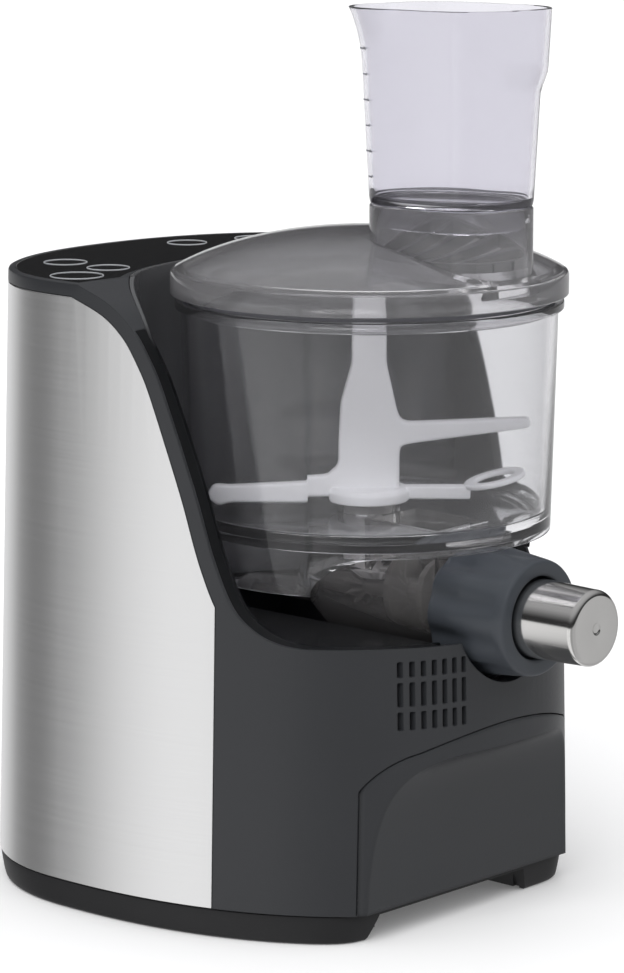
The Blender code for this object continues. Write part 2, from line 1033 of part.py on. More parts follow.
def gearbox_outline(inset):
    """Round over the output gear and square at the foot, in (x, z)."""
    half = gearbox_half_width - inset
    foot = base_top_height + seat_gap + inset
    top = round_corner((0, die_axis_height), half, 0, 180, 14)
    return [(half, foot), *top, (-half, foot)]


def make_gearbox():
    front = bowl_y + gearbox_front_behind
    rear = bowl_y + gearbox_rear_behind
    seam = front + gearbox_cover_thickness
    case = prism("gearbox_case", gearbox_outline(0), seam + seat_gap, rear, "Y", motor_iron)
    room = prism(
        "gearbox_room", gearbox_outline(gearbox_wall), front, rear - gearbox_wall, "Y", None
    )
    cut(case, room)
    cover = prism("gearbox_cover", gearbox_outline(0), front, seam, "Y", motor_iron)
    rear_seat = turned(
        "rear_bearing_boss",
        disc(bearing_radius + gearbox_wall, -gearbox_rear_behind, -gearbox_rear_behind + bearing_width),
        24,
        None,
        lying(),
    )
    rear_hole = turned(
        "rear_bearing_hole",
        disc(
            bearing_radius + seat_gap,
            -gearbox_rear_behind + gearbox_wall / 2,
            -gearbox_rear_behind + bearing_width + overrun,
        ),
        24,
        None,
        lying(),
    )
    join(case, rear_seat)
    cut(case, rear_hole)
    front_hole = turned(
        "front_bearing_hole",
        disc(bearing_radius + seat_gap, -motor_behind - bearing_width * 2, -motor_behind + overrun),
        24,
        None,
        lying(),
    )
    motor_hole = turned(
        "motor_shaft_hole",
        disc(motor_shaft_radius + running_gap, -motor_behind - bearing_width * 2, -motor_behind + overrun),
        16,
        None,
        lying(z=motor_axis_height),
    )
    cut(cover, front_hole, motor_hole)

    inside = -gearbox_rear_behind + gearbox_wall
    turned(
        "idler_pin",
        disc(
            idler_pin_radius,
            inside + seat_gap,
            -gearbox_front_behind - gearbox_cover_thickness - seat_gap,
        ),
        16,
        bearing_steel,
        lying(z=idler_axis_height),
    )

    front_face = -gearbox_front_behind - gearbox_cover_thickness - running_gap
    turned(
        "output_bearing_front",
        washer(
            bearing_radius,
            shaft_radius + seat_gap,
            -gearbox_front_behind - gearbox_cover_thickness,
            -gearbox_front_behind,
        ),
        16,
        bearing_steel,
        lying(),
        ring=True,
    )
    turned(
        "output_bearing_rear",
        washer(
            bearing_radius,
            shaft_radius + seat_gap,
            -gearbox_rear_behind + gearbox_wall / 2 + seat_gap,
            -gearbox_rear_behind + bearing_width,
        ),
        16,
        bearing_steel,
        lying(),
        ring=True,
    )

    idler = gear(
        "idler_gear",
        idler_large_teeth,
        fast_module,
        front_face - gear_thickness,
        front_face,
        -90 + 180 / idler_large_teeth,
        gear_nylon,
        lying(z=idler_axis_height),
    )
    small_front = front_face - gear_thickness
    small = gear(
        "idler_small_teeth",
        idler_small_teeth,
        slow_true_module,
        small_front - gear_thickness,
        small_front + running_gap,
        90,
        None,
        lying(z=idler_axis_height),
    )
    idler_bore = turned(
        "idler_bore",
        disc(idler_pin_radius + seat_gap, -gearbox_rear_behind, -gearbox_front_behind),
        16,
        None,
        lying(z=idler_axis_height),
    )
    join(idler, small)
    cut(idler, idler_bore)
    carry(axis_empty("idler_axis", lying(z=idler_axis_height)), idler)

    output = turned(
        "output_shaft",
        [
            (0, -barrel_behind + shaft_hex_reach / 2),
            (shaft_radius, -barrel_behind + shaft_hex_reach / 2),
            (shaft_radius, -barrel_behind - running_gap),
            (shaft_collar_radius, -barrel_behind - running_gap),
            (shaft_collar_radius, -gearbox_front_behind + running_gap),
            (shaft_radius, -gearbox_front_behind + running_gap),
            (shaft_radius, -gearbox_rear_behind + gearbox_wall / 2 + running_gap),
            (0, -gearbox_rear_behind + gearbox_wall / 2 + running_gap),
        ],
        16,
        bearing_steel,
        lying(),
    )
    wheel = gear(
        "output_gear_teeth",
        output_teeth,
        slow_true_module,
        small_front - gear_thickness + running_gap,
        small_front - running_gap,
        -90 + 180 / output_teeth,
        None,
        lying(),
    )
    join(output, wheel)
    hex_radius = shaft_hex_flats / 2 / math.cos(math.pi / 6)
    hexagon = [
        (hex_radius * math.cos(full_turn * at / 6), hex_radius * math.sin(full_turn * at / 6))
        for at in range(6)
    ]
    tool = turned(
        "output_hex_waste",
        washer(
            shaft_radius * 2,
            shaft_radius / 4,
            -barrel_behind - running_gap / 2,
            -barrel_behind + shaft_hex_reach,
        ),
        24,
        None,
        lying(),
        ring=True,
    )
    core = loft(
        "output_hex_core",
        [
            [(x, y, height) for x, y in hexagon]
            for height in (-barrel_behind - overrun, -barrel_behind + shaft_hex_reach + overrun)
        ],
        None,
        lying(),
    )
    cut(tool, core)
    cut(output, tool)
    carry(axis_empty("output_axis", lying()), output)


# Electronics

power_board_x = 0.0560
power_board_half_depth = 0.0300
power_board_behind = 0.0850
power_board_top = 0.0900


def make_boards():
    top = tower_height - panel_thickness - housing_wall
    panel_form(
        "control_board",
        top - seat_gap - board_thickness,
        top - seat_gap,
        -board_drop,
        board_green,
    )
    low = base_top_height + seat_gap
    power = block(
        "power_board",
        (power_board_x, bowl_y + power_board_behind - power_board_half_depth, low),
        (
            power_board_x + board_thickness,
            bowl_y + power_board_behind + power_board_half_depth,
            power_board_top,
        ),
        board_green,
    )
    capacitor_radius = power_board_half_depth / 3
    capacitor = block(
        "power_capacitor",
        (power_board_x, -capacitor_radius, motor_axis_height - capacitor_radius),
        (power_board_x + capacitor_radius * 2, capacitor_radius, motor_axis_height + capacitor_radius),
        None,
        place=upright(y=bowl_y + power_board_behind),
    )
    join(power, capacitor)


# Lid switch: its plunger stands out of the recess wall and the bowl's flange meets it

switch_travel = 0.0025
switch_body_half_width = 0.0052
switch_body_depth = 0.0130


def make_lid_switch():
    tip = bowl_flange_radius + seat_gap
    body_front = recess_rear_depth + seat_gap
    shoulder = body_front + switch_body_depth / 3
    body = block(
        "lid_switch",
        (-switch_body_half_width, bowl_y + body_front, lid_switch_height - switch_body_half_width),
        (
            switch_body_half_width,
            bowl_y + body_front + switch_body_depth,
            lid_switch_height + switch_body_half_width,
        ),
        base_black,
    )
    room = turned(
        "lid_switch_room",
        disc(
            lid_switch_radius + seat_gap,
            -shoulder - switch_travel * 2,
            -body_front + overrun,
        ),
        16,
        None,
        lying(z=lid_switch_height),
    )
    cut(body, room)
    dome = lid_switch_radius / 2
    turned(
        "lid_switch_plunger",
        [
            (0, -tip),
            (dome, -tip),
            (lid_switch_radius, -tip - dome),
            (lid_switch_radius, -shoulder),
            (0, -shoulder),
        ],
        16,
        panel_black,
        lying(z=lid_switch_height),
    )


# Cord outlet: a bush low in the back, where the supply enters

outlet_radius = 0.0070
outlet_bore = 0.0036
outlet_height = 0.0360
outlet_flange = 0.0030


def make_cord_outlet():
    share = (outlet_height - base_seam_height) / (tower_height - base_seam_height)
    rear = between(body_rear_depth, body_top_rear_depth, share)
    face = bowl_y - plan_y - rear
    outer = bowl_y - rear_y
    inner = face + housing_wall + wrap_sheet + seat_gap * 2
    place = lying(z=outlet_height)
    flange = outlet_radius + outlet_flange
    profile = [
        (outlet_radius, inner + outlet_flange * 3),
        (outlet_radius, face - seat_gap * 2),
        (flange, face - seat_gap * 2),
        (flange, outer + outlet_stand / 3),
        (flange - outlet_stand / 2, outer),
        (outlet_bore, outer),
        (outlet_bore, inner + outlet_flange * 3),
    ]
    turned("cord_outlet", profile, 14, base_black, place, ring=True)
    hole = turned(
        "cord_outlet_hole",
        disc(outlet_radius + seat_gap, outer - overrun, inner + outlet_flange * 3),
        14,
        None,
        place,
    )
    for wall in ("main_housing", "steel_wrap"):
        cut(bpy.data.objects[wall], hole, solver="MANIFOLD")


# Drawer: a moulded front with a scooped finger pull, and a tray behind it

drawer_lip_height = 0.0805
drawer_side_rim = 0.0070
drawer_face_behind_front = 0.0420
drawer_tray_half_width = 0.0660
drawer_tray_wall = 0.0020
drawer_tray_foot = 0.0165
drawer_tray_top = 0.0520
drawer_tray_behind = 0.0180
# Scoop in (share of the way from the front to the drawer's face, share of the lip's height)
drawer_scoop_shares = (
    (0.00, 1.00),
    (0.22, 0.985),
    (0.48, 0.90),
    (0.68, 0.74),
    (0.80, 0.52),
    (0.86, 0.26),
    (0.88, 0.00),
)


def make_drawer():
    front_y = plan_y - body_front_depth
    face_y = bowl_y - drawer_face_behind_front
    arch = prism(
        "drawer",
        drawer_outline(0),
        front_y - overrun,
        face_y - running_gap,
        "Y",
        housing_grey,
    )
    flush = body_form("drawer_flush", -overrun, tower_height, 0)
    rise = drawer_lip_height - base_seam_height
    scoop_reach = drawer_half_width - drawer_side_rim
    scoop_line = through(
        [
            (between(front_y, face_y, along), base_seam_height + up * rise)
            for along, up in drawer_scoop_shares
        ],
        3,
    )
    scoop = prism(
        "drawer_scoop",
        [
            (far_ahead, scoop_line[0][1]),
            *scoop_line,
            (scoop_line[-1][0], -overrun),
            (far_ahead, -overrun),
        ],
        -scoop_reach,
        scoop_reach,
        "X",
        None,
    )
    keep(arch, flush)
    cut(arch, scoop)
    tray = block(
        "drawer_tray",
        (-drawer_tray_half_width, face_y - overrun, drawer_tray_foot),
        (drawer_tray_half_width, bowl_y + drawer_tray_behind, drawer_tray_top),
        None,
    )
    room = block(
        "drawer_room",
        (
            -drawer_tray_half_width + drawer_tray_wall,
            face_y + drawer_tray_wall,
            drawer_tray_foot + drawer_tray_wall,
        ),
        (
            drawer_tray_half_width - drawer_tray_wall,
            bowl_y + drawer_tray_behind - drawer_tray_wall,
            drawer_tray_top + overrun,
        ),
        None,
    )
    join(arch, tray)
    cut(arch, room)
    carry(axis_empty("drawer_slide", upright(z=drawer_tray_foot)), arch)


# Bowl: clear wall and skirt, floor, and the barrel across the bottom

bowl_steps = 32
boss_bore = 0.0112
bowl_boss_height = 0.1752
barrel_front_ahead = 0.0750
barrel_flare_rear = 0.0290
barrel_flare_front = 0.0130
hopper_half_width = 0.0142
hopper_rear_ahead = 0.0150
hopper_front_ahead = 0.0520
arch_half_width = 0.0730
arch_top_height = 0.1660
arch_corner_radius = 0.0160
tail_seal_length = 0.0080
screw_shaft_radius = 0.0065


def barrel_profile(shrink, ahead, behind):
    return [
        (0, ahead),
        (barrel_radius - shrink, ahead),
        (barrel_radius - shrink, -barrel_flare_front),
        (barrel_tail_radius - shrink, -barrel_flare_rear),
        (barrel_tail_radius - shrink, -behind),
        (0, -behind),
    ]


def barrel_forms(name, grow, finish):
    """The barrel, and over it the boss of the paddle and the throat under the bowl's floor."""
    barrel = turned(
        name,
        barrel_profile(-grow, barrel_front_ahead + grow, barrel_behind + grow),
        24,
        finish,
        lying(),
    )
    boss = turned(
        name + "_boss",
        disc(boss_bore + bowl_wall + grow, die_axis_height, bowl_boss_height + grow),
        20,
        None,
        upright(),
    )
    throat = block(
        name + "_throat",
        (
            -hopper_half_width - bowl_wall - grow,
            -hopper_front_ahead - bowl_wall - grow,
            die_axis_height,
        ),
        (
            hopper_half_width + bowl_wall + grow,
            -hopper_rear_ahead + bowl_wall + grow,
            bowl_floor_height + grow,
        ),
        None,
        place=upright(),
    )
    return barrel, boss, throat


def make_bowl():
    floor_low = bowl_floor_height - bowl_floor_thickness
    inner_foot = bowl_foot_radius - bowl_wall
    inner_top = bowl_top_radius - bowl_wall
    flange_low = bowl_top_height - bowl_wall * 1.5
    corner = bowl_wall * 2
    profile = [
        (bowl_flange_radius, bowl_top_height),
        (bowl_flange_radius, flange_low),
        (bowl_top_radius, flange_low),
        (bowl_foot_radius, bowl_skirt_height),
        (inner_foot, bowl_skirt_height),
        (inner_foot, floor_low),
        (boss_bore, floor_low),
        (boss_bore, bowl_floor_height),
        (inner_foot - corner, bowl_floor_height),
        (inner_foot, bowl_floor_height + corner),
        (inner_top, bowl_top_height),
    ]
    bowl = turned("bowl", profile, bowl_steps, bowl_clear, upright(), ring=True)
    arch_corner = round_corner(
        (arch_half_width - arch_corner_radius, arch_top_height - arch_corner_radius),
        arch_corner_radius,
        0,
        90,
        5,
    )
    arch_outline = [
        (arch_half_width, die_axis_height),
        *arch_corner,
        *[(-x, z) for x, z in reversed(arch_corner)],
        (-arch_half_width, die_axis_height),
    ]
    cut(bowl, prism("bowl_arch", arch_outline, far_ahead, bowl_y, "Y", None))
    cut(bowl, *barrel_forms("bowl_room", seat_gap, None), solver="MANIFOLD")

    barrel, boss, throat = barrel_forms("extruder_barrel", 0, bowl_clear)
    bore = turned(
        "barrel_bore",
        barrel_profile(barrel_wall, barrel_front_ahead + overrun, barrel_behind + overrun),
        24,
        None,
        lying(),
    )
    boss_hole = turned(
        "barrel_boss_hole",
        disc(boss_bore, die_axis_height, bowl_boss_height + overrun),
        20,
        None,
        upright(),
    )
    hopper = block(
        "barrel_hopper",
        (-hopper_half_width, -hopper_front_ahead, die_axis_height),
        (hopper_half_width, -hopper_rear_ahead, bowl_floor_height + overrun),
        None,
        place=upright(),
    )
    join(barrel, boss, throat, solver="MANIFOLD")
    cut(barrel, bore, boss_hole, hopper, solver="MANIFOLD")
    carry(axis_empty("bowl_slide", upright(z=die_axis_height)), bowl, barrel)

    turned(
        "barrel_seal",
        washer(
            barrel_tail_radius - barrel_wall - seat_gap,
            screw_shaft_radius + seat_gap,
            -barrel_behind,
            -barrel_behind + tail_seal_length,
        ),
        16,
        seal_silicone,
        lying(),
        ring=True,
    )


# Screw in the barrel, with the bevel pinion that turns the paddle

bevel_teeth = 10
bevel_near = 0.0052
bevel_far = 0.0090
bevel_tip_degrees = 49.5
bevel_root_degrees = 37.5
screw_neck_radius = 0.0040
screw_core_radius = 0.0065
screw_flight_radius = 0.0172
screw_flight_ahead = 0.0150
screw_tip_ahead = 0.0720
screw_pitch = 0.0190
screw_turns = 2.5
screw_flight_thickness = 0.0030
screw_flight_steps = 16


def bevel_rings(near, far, bore, phase_degrees):
    """Rings of a bevel gear whose cones meet at the local origin, along local +Z."""
    tip = math.tan(math.radians(bevel_tip_degrees))
    root = math.tan(math.radians(bevel_root_degrees))
    tooth = full_turn / bevel_teeth
    shares = ((-0.25, root), (-0.09, tip), (0.09, tip), (0.25, root))
    rings = []
    for height, hollow in ((near, True), (near, False), (far, False), (far, True)):
        ring = []
        for at in range(bevel_teeth):
            for share, slope in shares:
                angle = math.radians(phase_degrees) + (at + share) * tooth
                radius = bore if hollow else height * slope
                ring.append((radius * math.cos(angle), radius * math.sin(angle), height))
        rings.append(ring)
    return rings


def make_auger():
    tail = -barrel_behind
    profile = [
        (0, screw_tip_ahead),
        (screw_core_radius / 2, screw_tip_ahead),
        (screw_core_radius, screw_tip_ahead - screw_core_radius),
        (screw_core_radius, screw_flight_ahead - screw_flight_thickness / 2),
        (screw_neck_radius, screw_flight_ahead - screw_flight_thickness),
        (screw_neck_radius, -bevel_far + running_gap),
        (screw_shaft_radius, -bevel_far - running_gap),
        (screw_shaft_radius, tail),
        (0, tail),
    ]
    auger = turned("auger", profile, 16, paddle_grey, lying())
    steps = int(screw_flight_steps * screw_turns)
    rings = []
    for at in range(steps + 1):
        angle = full_turn * screw_turns * at / steps
        ahead = screw_flight_ahead + screw_pitch * screw_turns * at / steps
        corners = (
            (screw_core_radius / 2, 0),
            (screw_flight_radius, 0),
            (screw_flight_radius, screw_flight_thickness),
            (screw_core_radius / 2, screw_flight_thickness),
        )
        rings.append(
            [
                (radius * math.cos(angle), radius * math.sin(angle), ahead + rise)
                for radius, rise in corners
            ]
        )
    flight = loft("auger_flight", rings, None, lying())
    pinion = loft(
        "auger_pinion",
        bevel_rings(-bevel_near, -bevel_far, screw_neck_radius / 2, 90),
        None,
        lying(),
        closed=True,
    )
    socket_flats = shaft_hex_flats + running_gap * 2
    socket_radius = socket_flats / 2 / math.cos(math.pi / 6)
    socket = loft(
        "auger_socket",
        [
            [
                (
                    socket_radius * math.cos(full_turn * side / 6),
                    socket_radius * math.sin(full_turn * side / 6),
                    height,
                )
                for side in range(6)
            ]
            for height in (tail - overrun, tail + shaft_hex_reach)
        ],
        None,
        lying(),
    )
    join(auger, pinion, flight, solver="MANIFOLD")
    cut(auger, socket, solver="MANIFOLD")
    carry(axis_empty("auger_axis", lying()), auger)


# Paddle: a blade with arms on a hub that turns about the bowl's axis

paddle_turn_degrees = -47.5
paddle_thickness = 0.0070
paddle_top_height = 0.2600
paddle_top_half_width = 0.0076
paddle_foot_half_width = 0.0134
paddle_reach = 0.0715
paddle_hub_radius = 0.0180
paddle_hub_height = 0.0062
paddle_neck_radius = 0.0064
paddle_arm_low = 0.2020
paddle_arm_high = 0.2110
paddle_foot_arm_low = 0.1790
paddle_foot_arm_high = 0.1870
paddle_arm_taper = 0.0045
paddle_fillet = 0.0045
scoop_ring_reach = 0.0560
scoop_ring_radius = 0.0140
scoop_ring_height = 0.1850
scoop_ring_thickness = 0.0024


def paddle_outline():
    """The blade in (x, z): a column that widens downward, with an arm each way."""
    arm_reach = paddle_reach
    arm_waist = between(paddle_top_half_width, paddle_foot_half_width, 0.85)
    right_top = [
        (arm_waist, paddle_arm_high + paddle_fillet),
        (arm_waist + paddle_fillet * 0.3, paddle_arm_high + paddle_fillet * 0.3),
        (arm_waist + paddle_fillet, paddle_arm_high),
        (arm_reach, paddle_arm_high + paddle_arm_taper / 2),
        (arm_reach, paddle_arm_high - paddle_arm_taper / 2),
    ]
    right_low = [
        (arm_waist + paddle_fillet * 2, paddle_arm_low),
        (paddle_foot_half_width + paddle_fillet * 0.2, paddle_arm_low - paddle_fillet * 0.3),
        (paddle_foot_half_width, paddle_arm_low - paddle_fillet),
        (paddle_foot_half_width, paddle_foot_arm_low),
    ]
    foot_low = between(paddle_foot_arm_low, paddle_foot_arm_high, -0.2)
    blob = paddle_arm_taper * 1.1
    left = [
        (-paddle_foot_half_width, foot_low),
        (-paddle_reach + blob * 2, foot_low),
        (-paddle_reach + blob, foot_low - blob / 3),
        (-paddle_reach, foot_low + blob / 2),
        (-paddle_reach + blob / 2, foot_low + blob * 1.6),
        (-paddle_reach + blob * 2, foot_low + blob * 1.5),
        (-paddle_foot_half_width - paddle_fillet, paddle_foot_arm_high),
        (-paddle_foot_half_width, paddle_foot_arm_high + paddle_fillet),
        (-paddle_foot_half_width, paddle_arm_low),
        (-arm_waist, paddle_arm_high + paddle_fillet * 2),
        (-paddle_top_half_width, between(paddle_arm_high, paddle_top_height, 0.55)),
        (-paddle_top_half_width, paddle_top_height),
        (paddle_top_half_width, paddle_top_height),
        (paddle_top_half_width, between(paddle_arm_high, paddle_top_height, 0.55)),
    ]
    return list(reversed(right_top + right_low + left))


def make_paddle():
    spin = Matrix.Rotation(math.radians(paddle_turn_degrees), 4, "Z")
    hub_low = bowl_boss_height + running_gap
    hub_high = hub_low + paddle_hub_height
    crown_top = die_axis_height + bevel_far
    pinion_reach = bevel_far * math.tan(math.radians(bevel_tip_degrees))
    pinion_top = die_axis_height + pinion_reach + running_gap
    profile = [
        (0, hub_high),
        (paddle_hub_radius - paddle_hub_height / 3, hub_high),
        (paddle_hub_radius, hub_high - paddle_hub_height / 3),
        (paddle_hub_radius, hub_low),
        (boss_bore - seat_gap, hub_low),
        (boss_bore - seat_gap, pinion_top),
        (paddle_neck_radius, pinion_top),
        (paddle_neck_radius, crown_top - running_gap),
        (0, crown_top - running_gap),
    ]
    paddle = turned("mixing_paddle", profile, 20, paddle_grey, upright())
    blade = prism(
        "paddle_blade",
        paddle_outline(),
        -paddle_thickness / 2,
        paddle_thickness / 2,
        "Y",
        None,
    )
    blade.matrix_world = upright() @ spin
    ring = turned(
        "paddle_scoop_ring",
        washer(
            scoop_ring_radius,
            scoop_ring_radius - scoop_ring_thickness * 2,
            -scoop_ring_thickness / 2,
            scoop_ring_thickness / 2,
        ),
        16,
        None,
        upright()
        @ spin
        @ Matrix.Translation((scoop_ring_reach, 0, scoop_ring_height))
        @ Matrix.Rotation(math.radians(-14), 4, "Y"),
        ring=True,
    )
    arm = block(
        "paddle_scoop_arm",
        (0, -paddle_thickness / 2, hub_low + running_gap),
        (scoop_ring_reach - scoop_ring_radius + scoop_ring_thickness, paddle_thickness / 2, hub_high),
        None,
        place=upright() @ spin,
    )
    crown = loft(
        "paddle_crown",
        bevel_rings(bevel_near, bevel_far, screw_neck_radius / 2, 90 + 180 / bevel_teeth),
        None,
        upright(z=die_axis_height),
        closed=True,
    )
    join(paddle, crown, blade, arm, ring)
    carry(axis_empty("paddle_axis", upright(z=hub_low)), paddle)


# Nose and the nut that holds it on the barrel

nose_flange_radius = 0.0200
nose_flange_thickness = 0.0040
nose_wall = 0.0030
nose_end_wall = 0.0050
nose_fillet = 0.0030
nose_hole_radius = 0.0023
nut_lip = 0.0040
thread_depth = 0.0016
nut_flutes = 10
nut_flute_points = 4
nut_flute_depth = 0.0013
nut_shoulder_share = 0.35
nut_round = 0.0020


def make_nose():
    flange_rear = barrel_front_ahead + seat_gap
    flange_front = flange_rear + nose_flange_thickness
    tip = bowl_y - nose_tip_y
    bore = nose_tip_radius - nose_wall
    fillet = round_corner(
        (nose_tip_radius - nose_fillet, tip - nose_fillet), nose_fillet, 90, 0, 3
    )
    profile = [
        (nose_hole_radius, tip),
        *fillet,
        (nose_root_radius, flange_front),
        (nose_flange_radius, flange_front),
        (nose_flange_radius, flange_rear),
        (bore, flange_rear),
        (bore, tip - nose_end_wall - nose_fillet),
        (bore - nose_fillet, tip - nose_end_wall),
        (nose_hole_radius, tip - nose_end_wall),
    ]
    nose = turned("steel_nose", profile, 22, polished_steel, lying(), ring=True)
    carry(axis_empty("nose_slide", lying()), nose)


def make_nut():
    """A turned ring whose outside is drawn in by shallow grip flutes."""
    thread = barrel_radius + thread_depth
    lip_rear = barrel_front_ahead + seat_gap * 2 + nose_flange_thickness
    neck = nose_root_radius + running_gap
    shoulder = between(nut_rear_ahead, nut_front_ahead, nut_shoulder_share)
    flute_end = nut_front_ahead - nut_lip
    flute_end_radius = between(nut_front_radius, nut_rear_radius, nut_lip / (flute_end - shoulder))
    profile = (
        (nut_front_radius - nut_round, nut_front_ahead, 0),
        (nut_front_radius, nut_front_ahead - nut_round, 0),
        (flute_end_radius, flute_end, 0),
        (nut_rear_radius, shoulder, nut_flute_depth),
        (nut_rear_radius, nut_rear_ahead, nut_flute_depth),
        (thread, nut_rear_ahead, 0),
        (thread, lip_rear, 0),
        (neck, lip_rear, 0),
        (neck, nut_front_ahead, 0),
    )
    around = nut_flutes * nut_flute_points
    rings = []
    for radius, ahead, depth in profile:
        ring = []
        for at in range(around):
            angle = full_turn * at / around
            draw = depth * (1 - math.cos(angle * nut_flutes)) / 2
            ring.append(
                ((radius - draw) * math.cos(angle), (radius - draw) * math.sin(angle), ahead)
            )
        rings.append(ring)
    nut = loft("lock_nut", rings, nut_grey, lying(), closed=True)
    carry(axis_empty("nut_axis", lying()), nut)


# Lid with its chute, seal and guard, and the measuring cup

chute_steps = 20
guard_bars = 4
guard_bar_width = 0.0030
guard_height = 0.2860
guard_thickness = 0.0040
lid_spigot_radius = 0.0790
lid_spigot_height = 0.2620
lid_seal_height = 0.0020
# Dome in (share of the radius, share of the rise from the rim to the crown)
lid_crest_shares = ((0.975, 0.10), (0.88, 0.40), (0.68, 0.72), (0.38, 0.93))
cup_spigot_depth = 0.0100
cup_floor = 0.0022
cup_spout_reach = 0.0070
cup_spout_angle = math.radians(131)
cup_spout_edge = 0.72
cup_grip_depth = 0.0040
cup_lip_share = 0.70
cup_grip_share = 0.56
cup_outer_shares = (0, 0.56, 0.70, 0.84, 0.94, 1)


def chute_ring(height, inset):
    plan = oval(
        chute_half_width - inset,
        chute_half_depth - inset,
        chute_half_depth - inset,
        chute_power,
        chute_steps,
    )
    return [(x, y - chute_ahead, height) for x, y in plan]


def make_lid():
    foot = bowl_top_height + seat_gap + lid_seal_height
    shoulder = lid_rim_top_height
    rise = lid_dome_height - shoulder
    outside = [(lid_radius * along, shoulder + up * rise) for along, up in lid_crest_shares]
    inside = [
        ((lid_radius - lid_wall * 2.6) * along, shoulder + up * rise - lid_wall)
        for along, up in lid_crest_shares
    ]
    profile = [
        (0, lid_dome_height),
        *reversed(outside),
        (lid_radius, shoulder - lid_wall / 3),
        (lid_radius, lid_rim_foot_height),
        (lid_spigot_radius, foot),
        (lid_spigot_radius, lid_spigot_height),
        (lid_spigot_radius - lid_wall, lid_spigot_height),
        (lid_spigot_radius - lid_wall, foot),
        *inside,
        (0, lid_dome_height - lid_wall),
    ]
    lid = turned("lid", profile, bowl_steps, lid_smoke, upright())
    chute = loft(
        "lid_chute",
        [chute_ring(lid_rim_top_height, 0), chute_ring(chute_top_height, 0)],
        None,
        upright(),
    )
    mouth = loft(
        "lid_mouth",
        [
            chute_ring(lid_rim_top_height - lid_wall, lid_wall * 2),
            chute_ring(lid_rim_top_height + lid_wall, lid_wall),
            chute_ring(chute_top_height + overrun, lid_wall),
        ],
        None,
        upright(),
    )
    join(lid, chute)
    cut(lid, mouth)
    carry(axis_empty("lid_lift", upright(z=lid_rim_foot_height)), lid)
    turned(
        "lid_seal",
        washer(
            bowl_top_radius - bowl_wall / 2,
            lid_spigot_radius + seat_gap,
            bowl_top_height + seat_gap,
            foot - seat_gap,
        ),
        bowl_steps,
        seal_silicone,
        upright(),
        ring=True,
    )


def make_chute_guard():
    inset = lid_wall + seat_gap
    rings = [
        chute_ring(guard_height, inset + lid_wall * 0.7),
        chute_ring(guard_height, inset),
        chute_ring(guard_height + guard_thickness, inset),
        chute_ring(guard_height + guard_thickness, inset + lid_wall * 0.7),
    ]
    guard = loft("chute_guard", rings, lid_smoke, upright(), closed=True)
    spread = (chute_half_depth - inset) * 2 / (guard_bars + 1)
    for at in range(guard_bars):
        y = -chute_ahead + spread * (at - (guard_bars - 1) / 2)
        share = abs(y + chute_ahead) / (chute_half_depth - inset)
        reach = (chute_half_width - inset) * (1 - share**chute_power) ** (1 / chute_power)
        bar = block(
            f"guard_bar_{at}",
            (-reach + lid_wall / 3, y - guard_bar_width / 2, guard_height + seat_gap),
            (reach - lid_wall / 3, y + guard_bar_width / 2, guard_height + guard_thickness - seat_gap),
            None,
            place=upright(),
        )
        join(guard, bar)
    carry(axis_empty("guard_lift", upright(z=guard_height)), guard)


def cup_ring(share, inset):
    """One ring of the cup: wider to the top, with a spout and, across from it, a grip."""
    height = between(chute_top_height + seat_gap, cup_top_height, share)
    grow = cup_flare * share - inset
    half_width = chute_half_width + grow
    half_depth = chute_half_depth + grow
    lip = max(0, share - cup_lip_share) / (1 - cup_lip_share)
    grip = min(1, max(0, share - cup_grip_share) / (cup_lip_share - cup_grip_share))
    aim = Vector((math.cos(cup_spout_angle), math.sin(cup_spout_angle)))
    ring = []
    for x, y in oval(half_width, half_depth, half_depth, chute_power, chute_steps):
        place = Vector((x, y))
        facing = place.normalized().dot(aim)
        nearness = max(0, abs(facing) - cup_spout_edge) / (1 - cup_spout_edge)
        reach = cup_spout_reach * lip**2 if facing > 0 else cup_grip_depth * grip
        place += place.normalized() * reach * nearness
        ring.append((place.x, place.y - chute_ahead, height))
    return ring


def make_cup():
    outside = [cup_ring(share, 0) for share in cup_outer_shares]
    bottom = chute_top_height + seat_gap
    fit = lid_wall + seat_gap
    spigot = [
        chute_ring(bottom - cup_spigot_depth, fit + cup_wall),
        chute_ring(bottom - cup_spigot_depth, fit),
        chute_ring(bottom, fit),
    ]
    under = chute_ring(bottom, fit + cup_wall)
    cup = loft("measuring_cup", outside, cup_clear, upright())
    floor_share = cup_floor / (cup_top_height - bottom)
    inner_shares = (floor_share, *cup_outer_shares[1:])
    room = loft(
        "cup_room",
        [cup_ring(share, cup_wall) for share in inner_shares]
        + [[(x, y, z + overrun) for x, y, z in cup_ring(1, cup_wall)]],
        None,
        upright(),
    )
    lip = [(x, y, z + cup_floor / 2) for x, y, z in spigot[2]]
    lip_inside = [(x, y, z + cup_floor / 2) for x, y, z in under]
    collar = loft(
        "cup_spigot",
        [spigot[0], spigot[1], lip, lip_inside],
        None,
        upright(),
        closed=True,
    )
    join(cup, collar)
    cut(cup, room)
    carry(axis_empty("cup_lift", upright(z=bottom)), cup)


make_base_tray()
make_feet()
make_base_screws()
make_main_housing()
make_recess_liner()
make_steel_wrap()
make_control_panel()
make_cord_outlet()
make_motor()
make_gearbox()
make_boards()
make_lid_switch()
make_drawer()
make_bowl()
make_auger()
make_paddle()
make_nose()
make_nut()
make_lid()
make_chute_guard()
make_cup()
bpy.context.view_layer.update()
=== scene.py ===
from math import atan2, copysign, cos, exp, hypot, log1p, pi, radians, sin, tan, tau

import bmesh
import bpy
from mathutils import Matrix, Vector


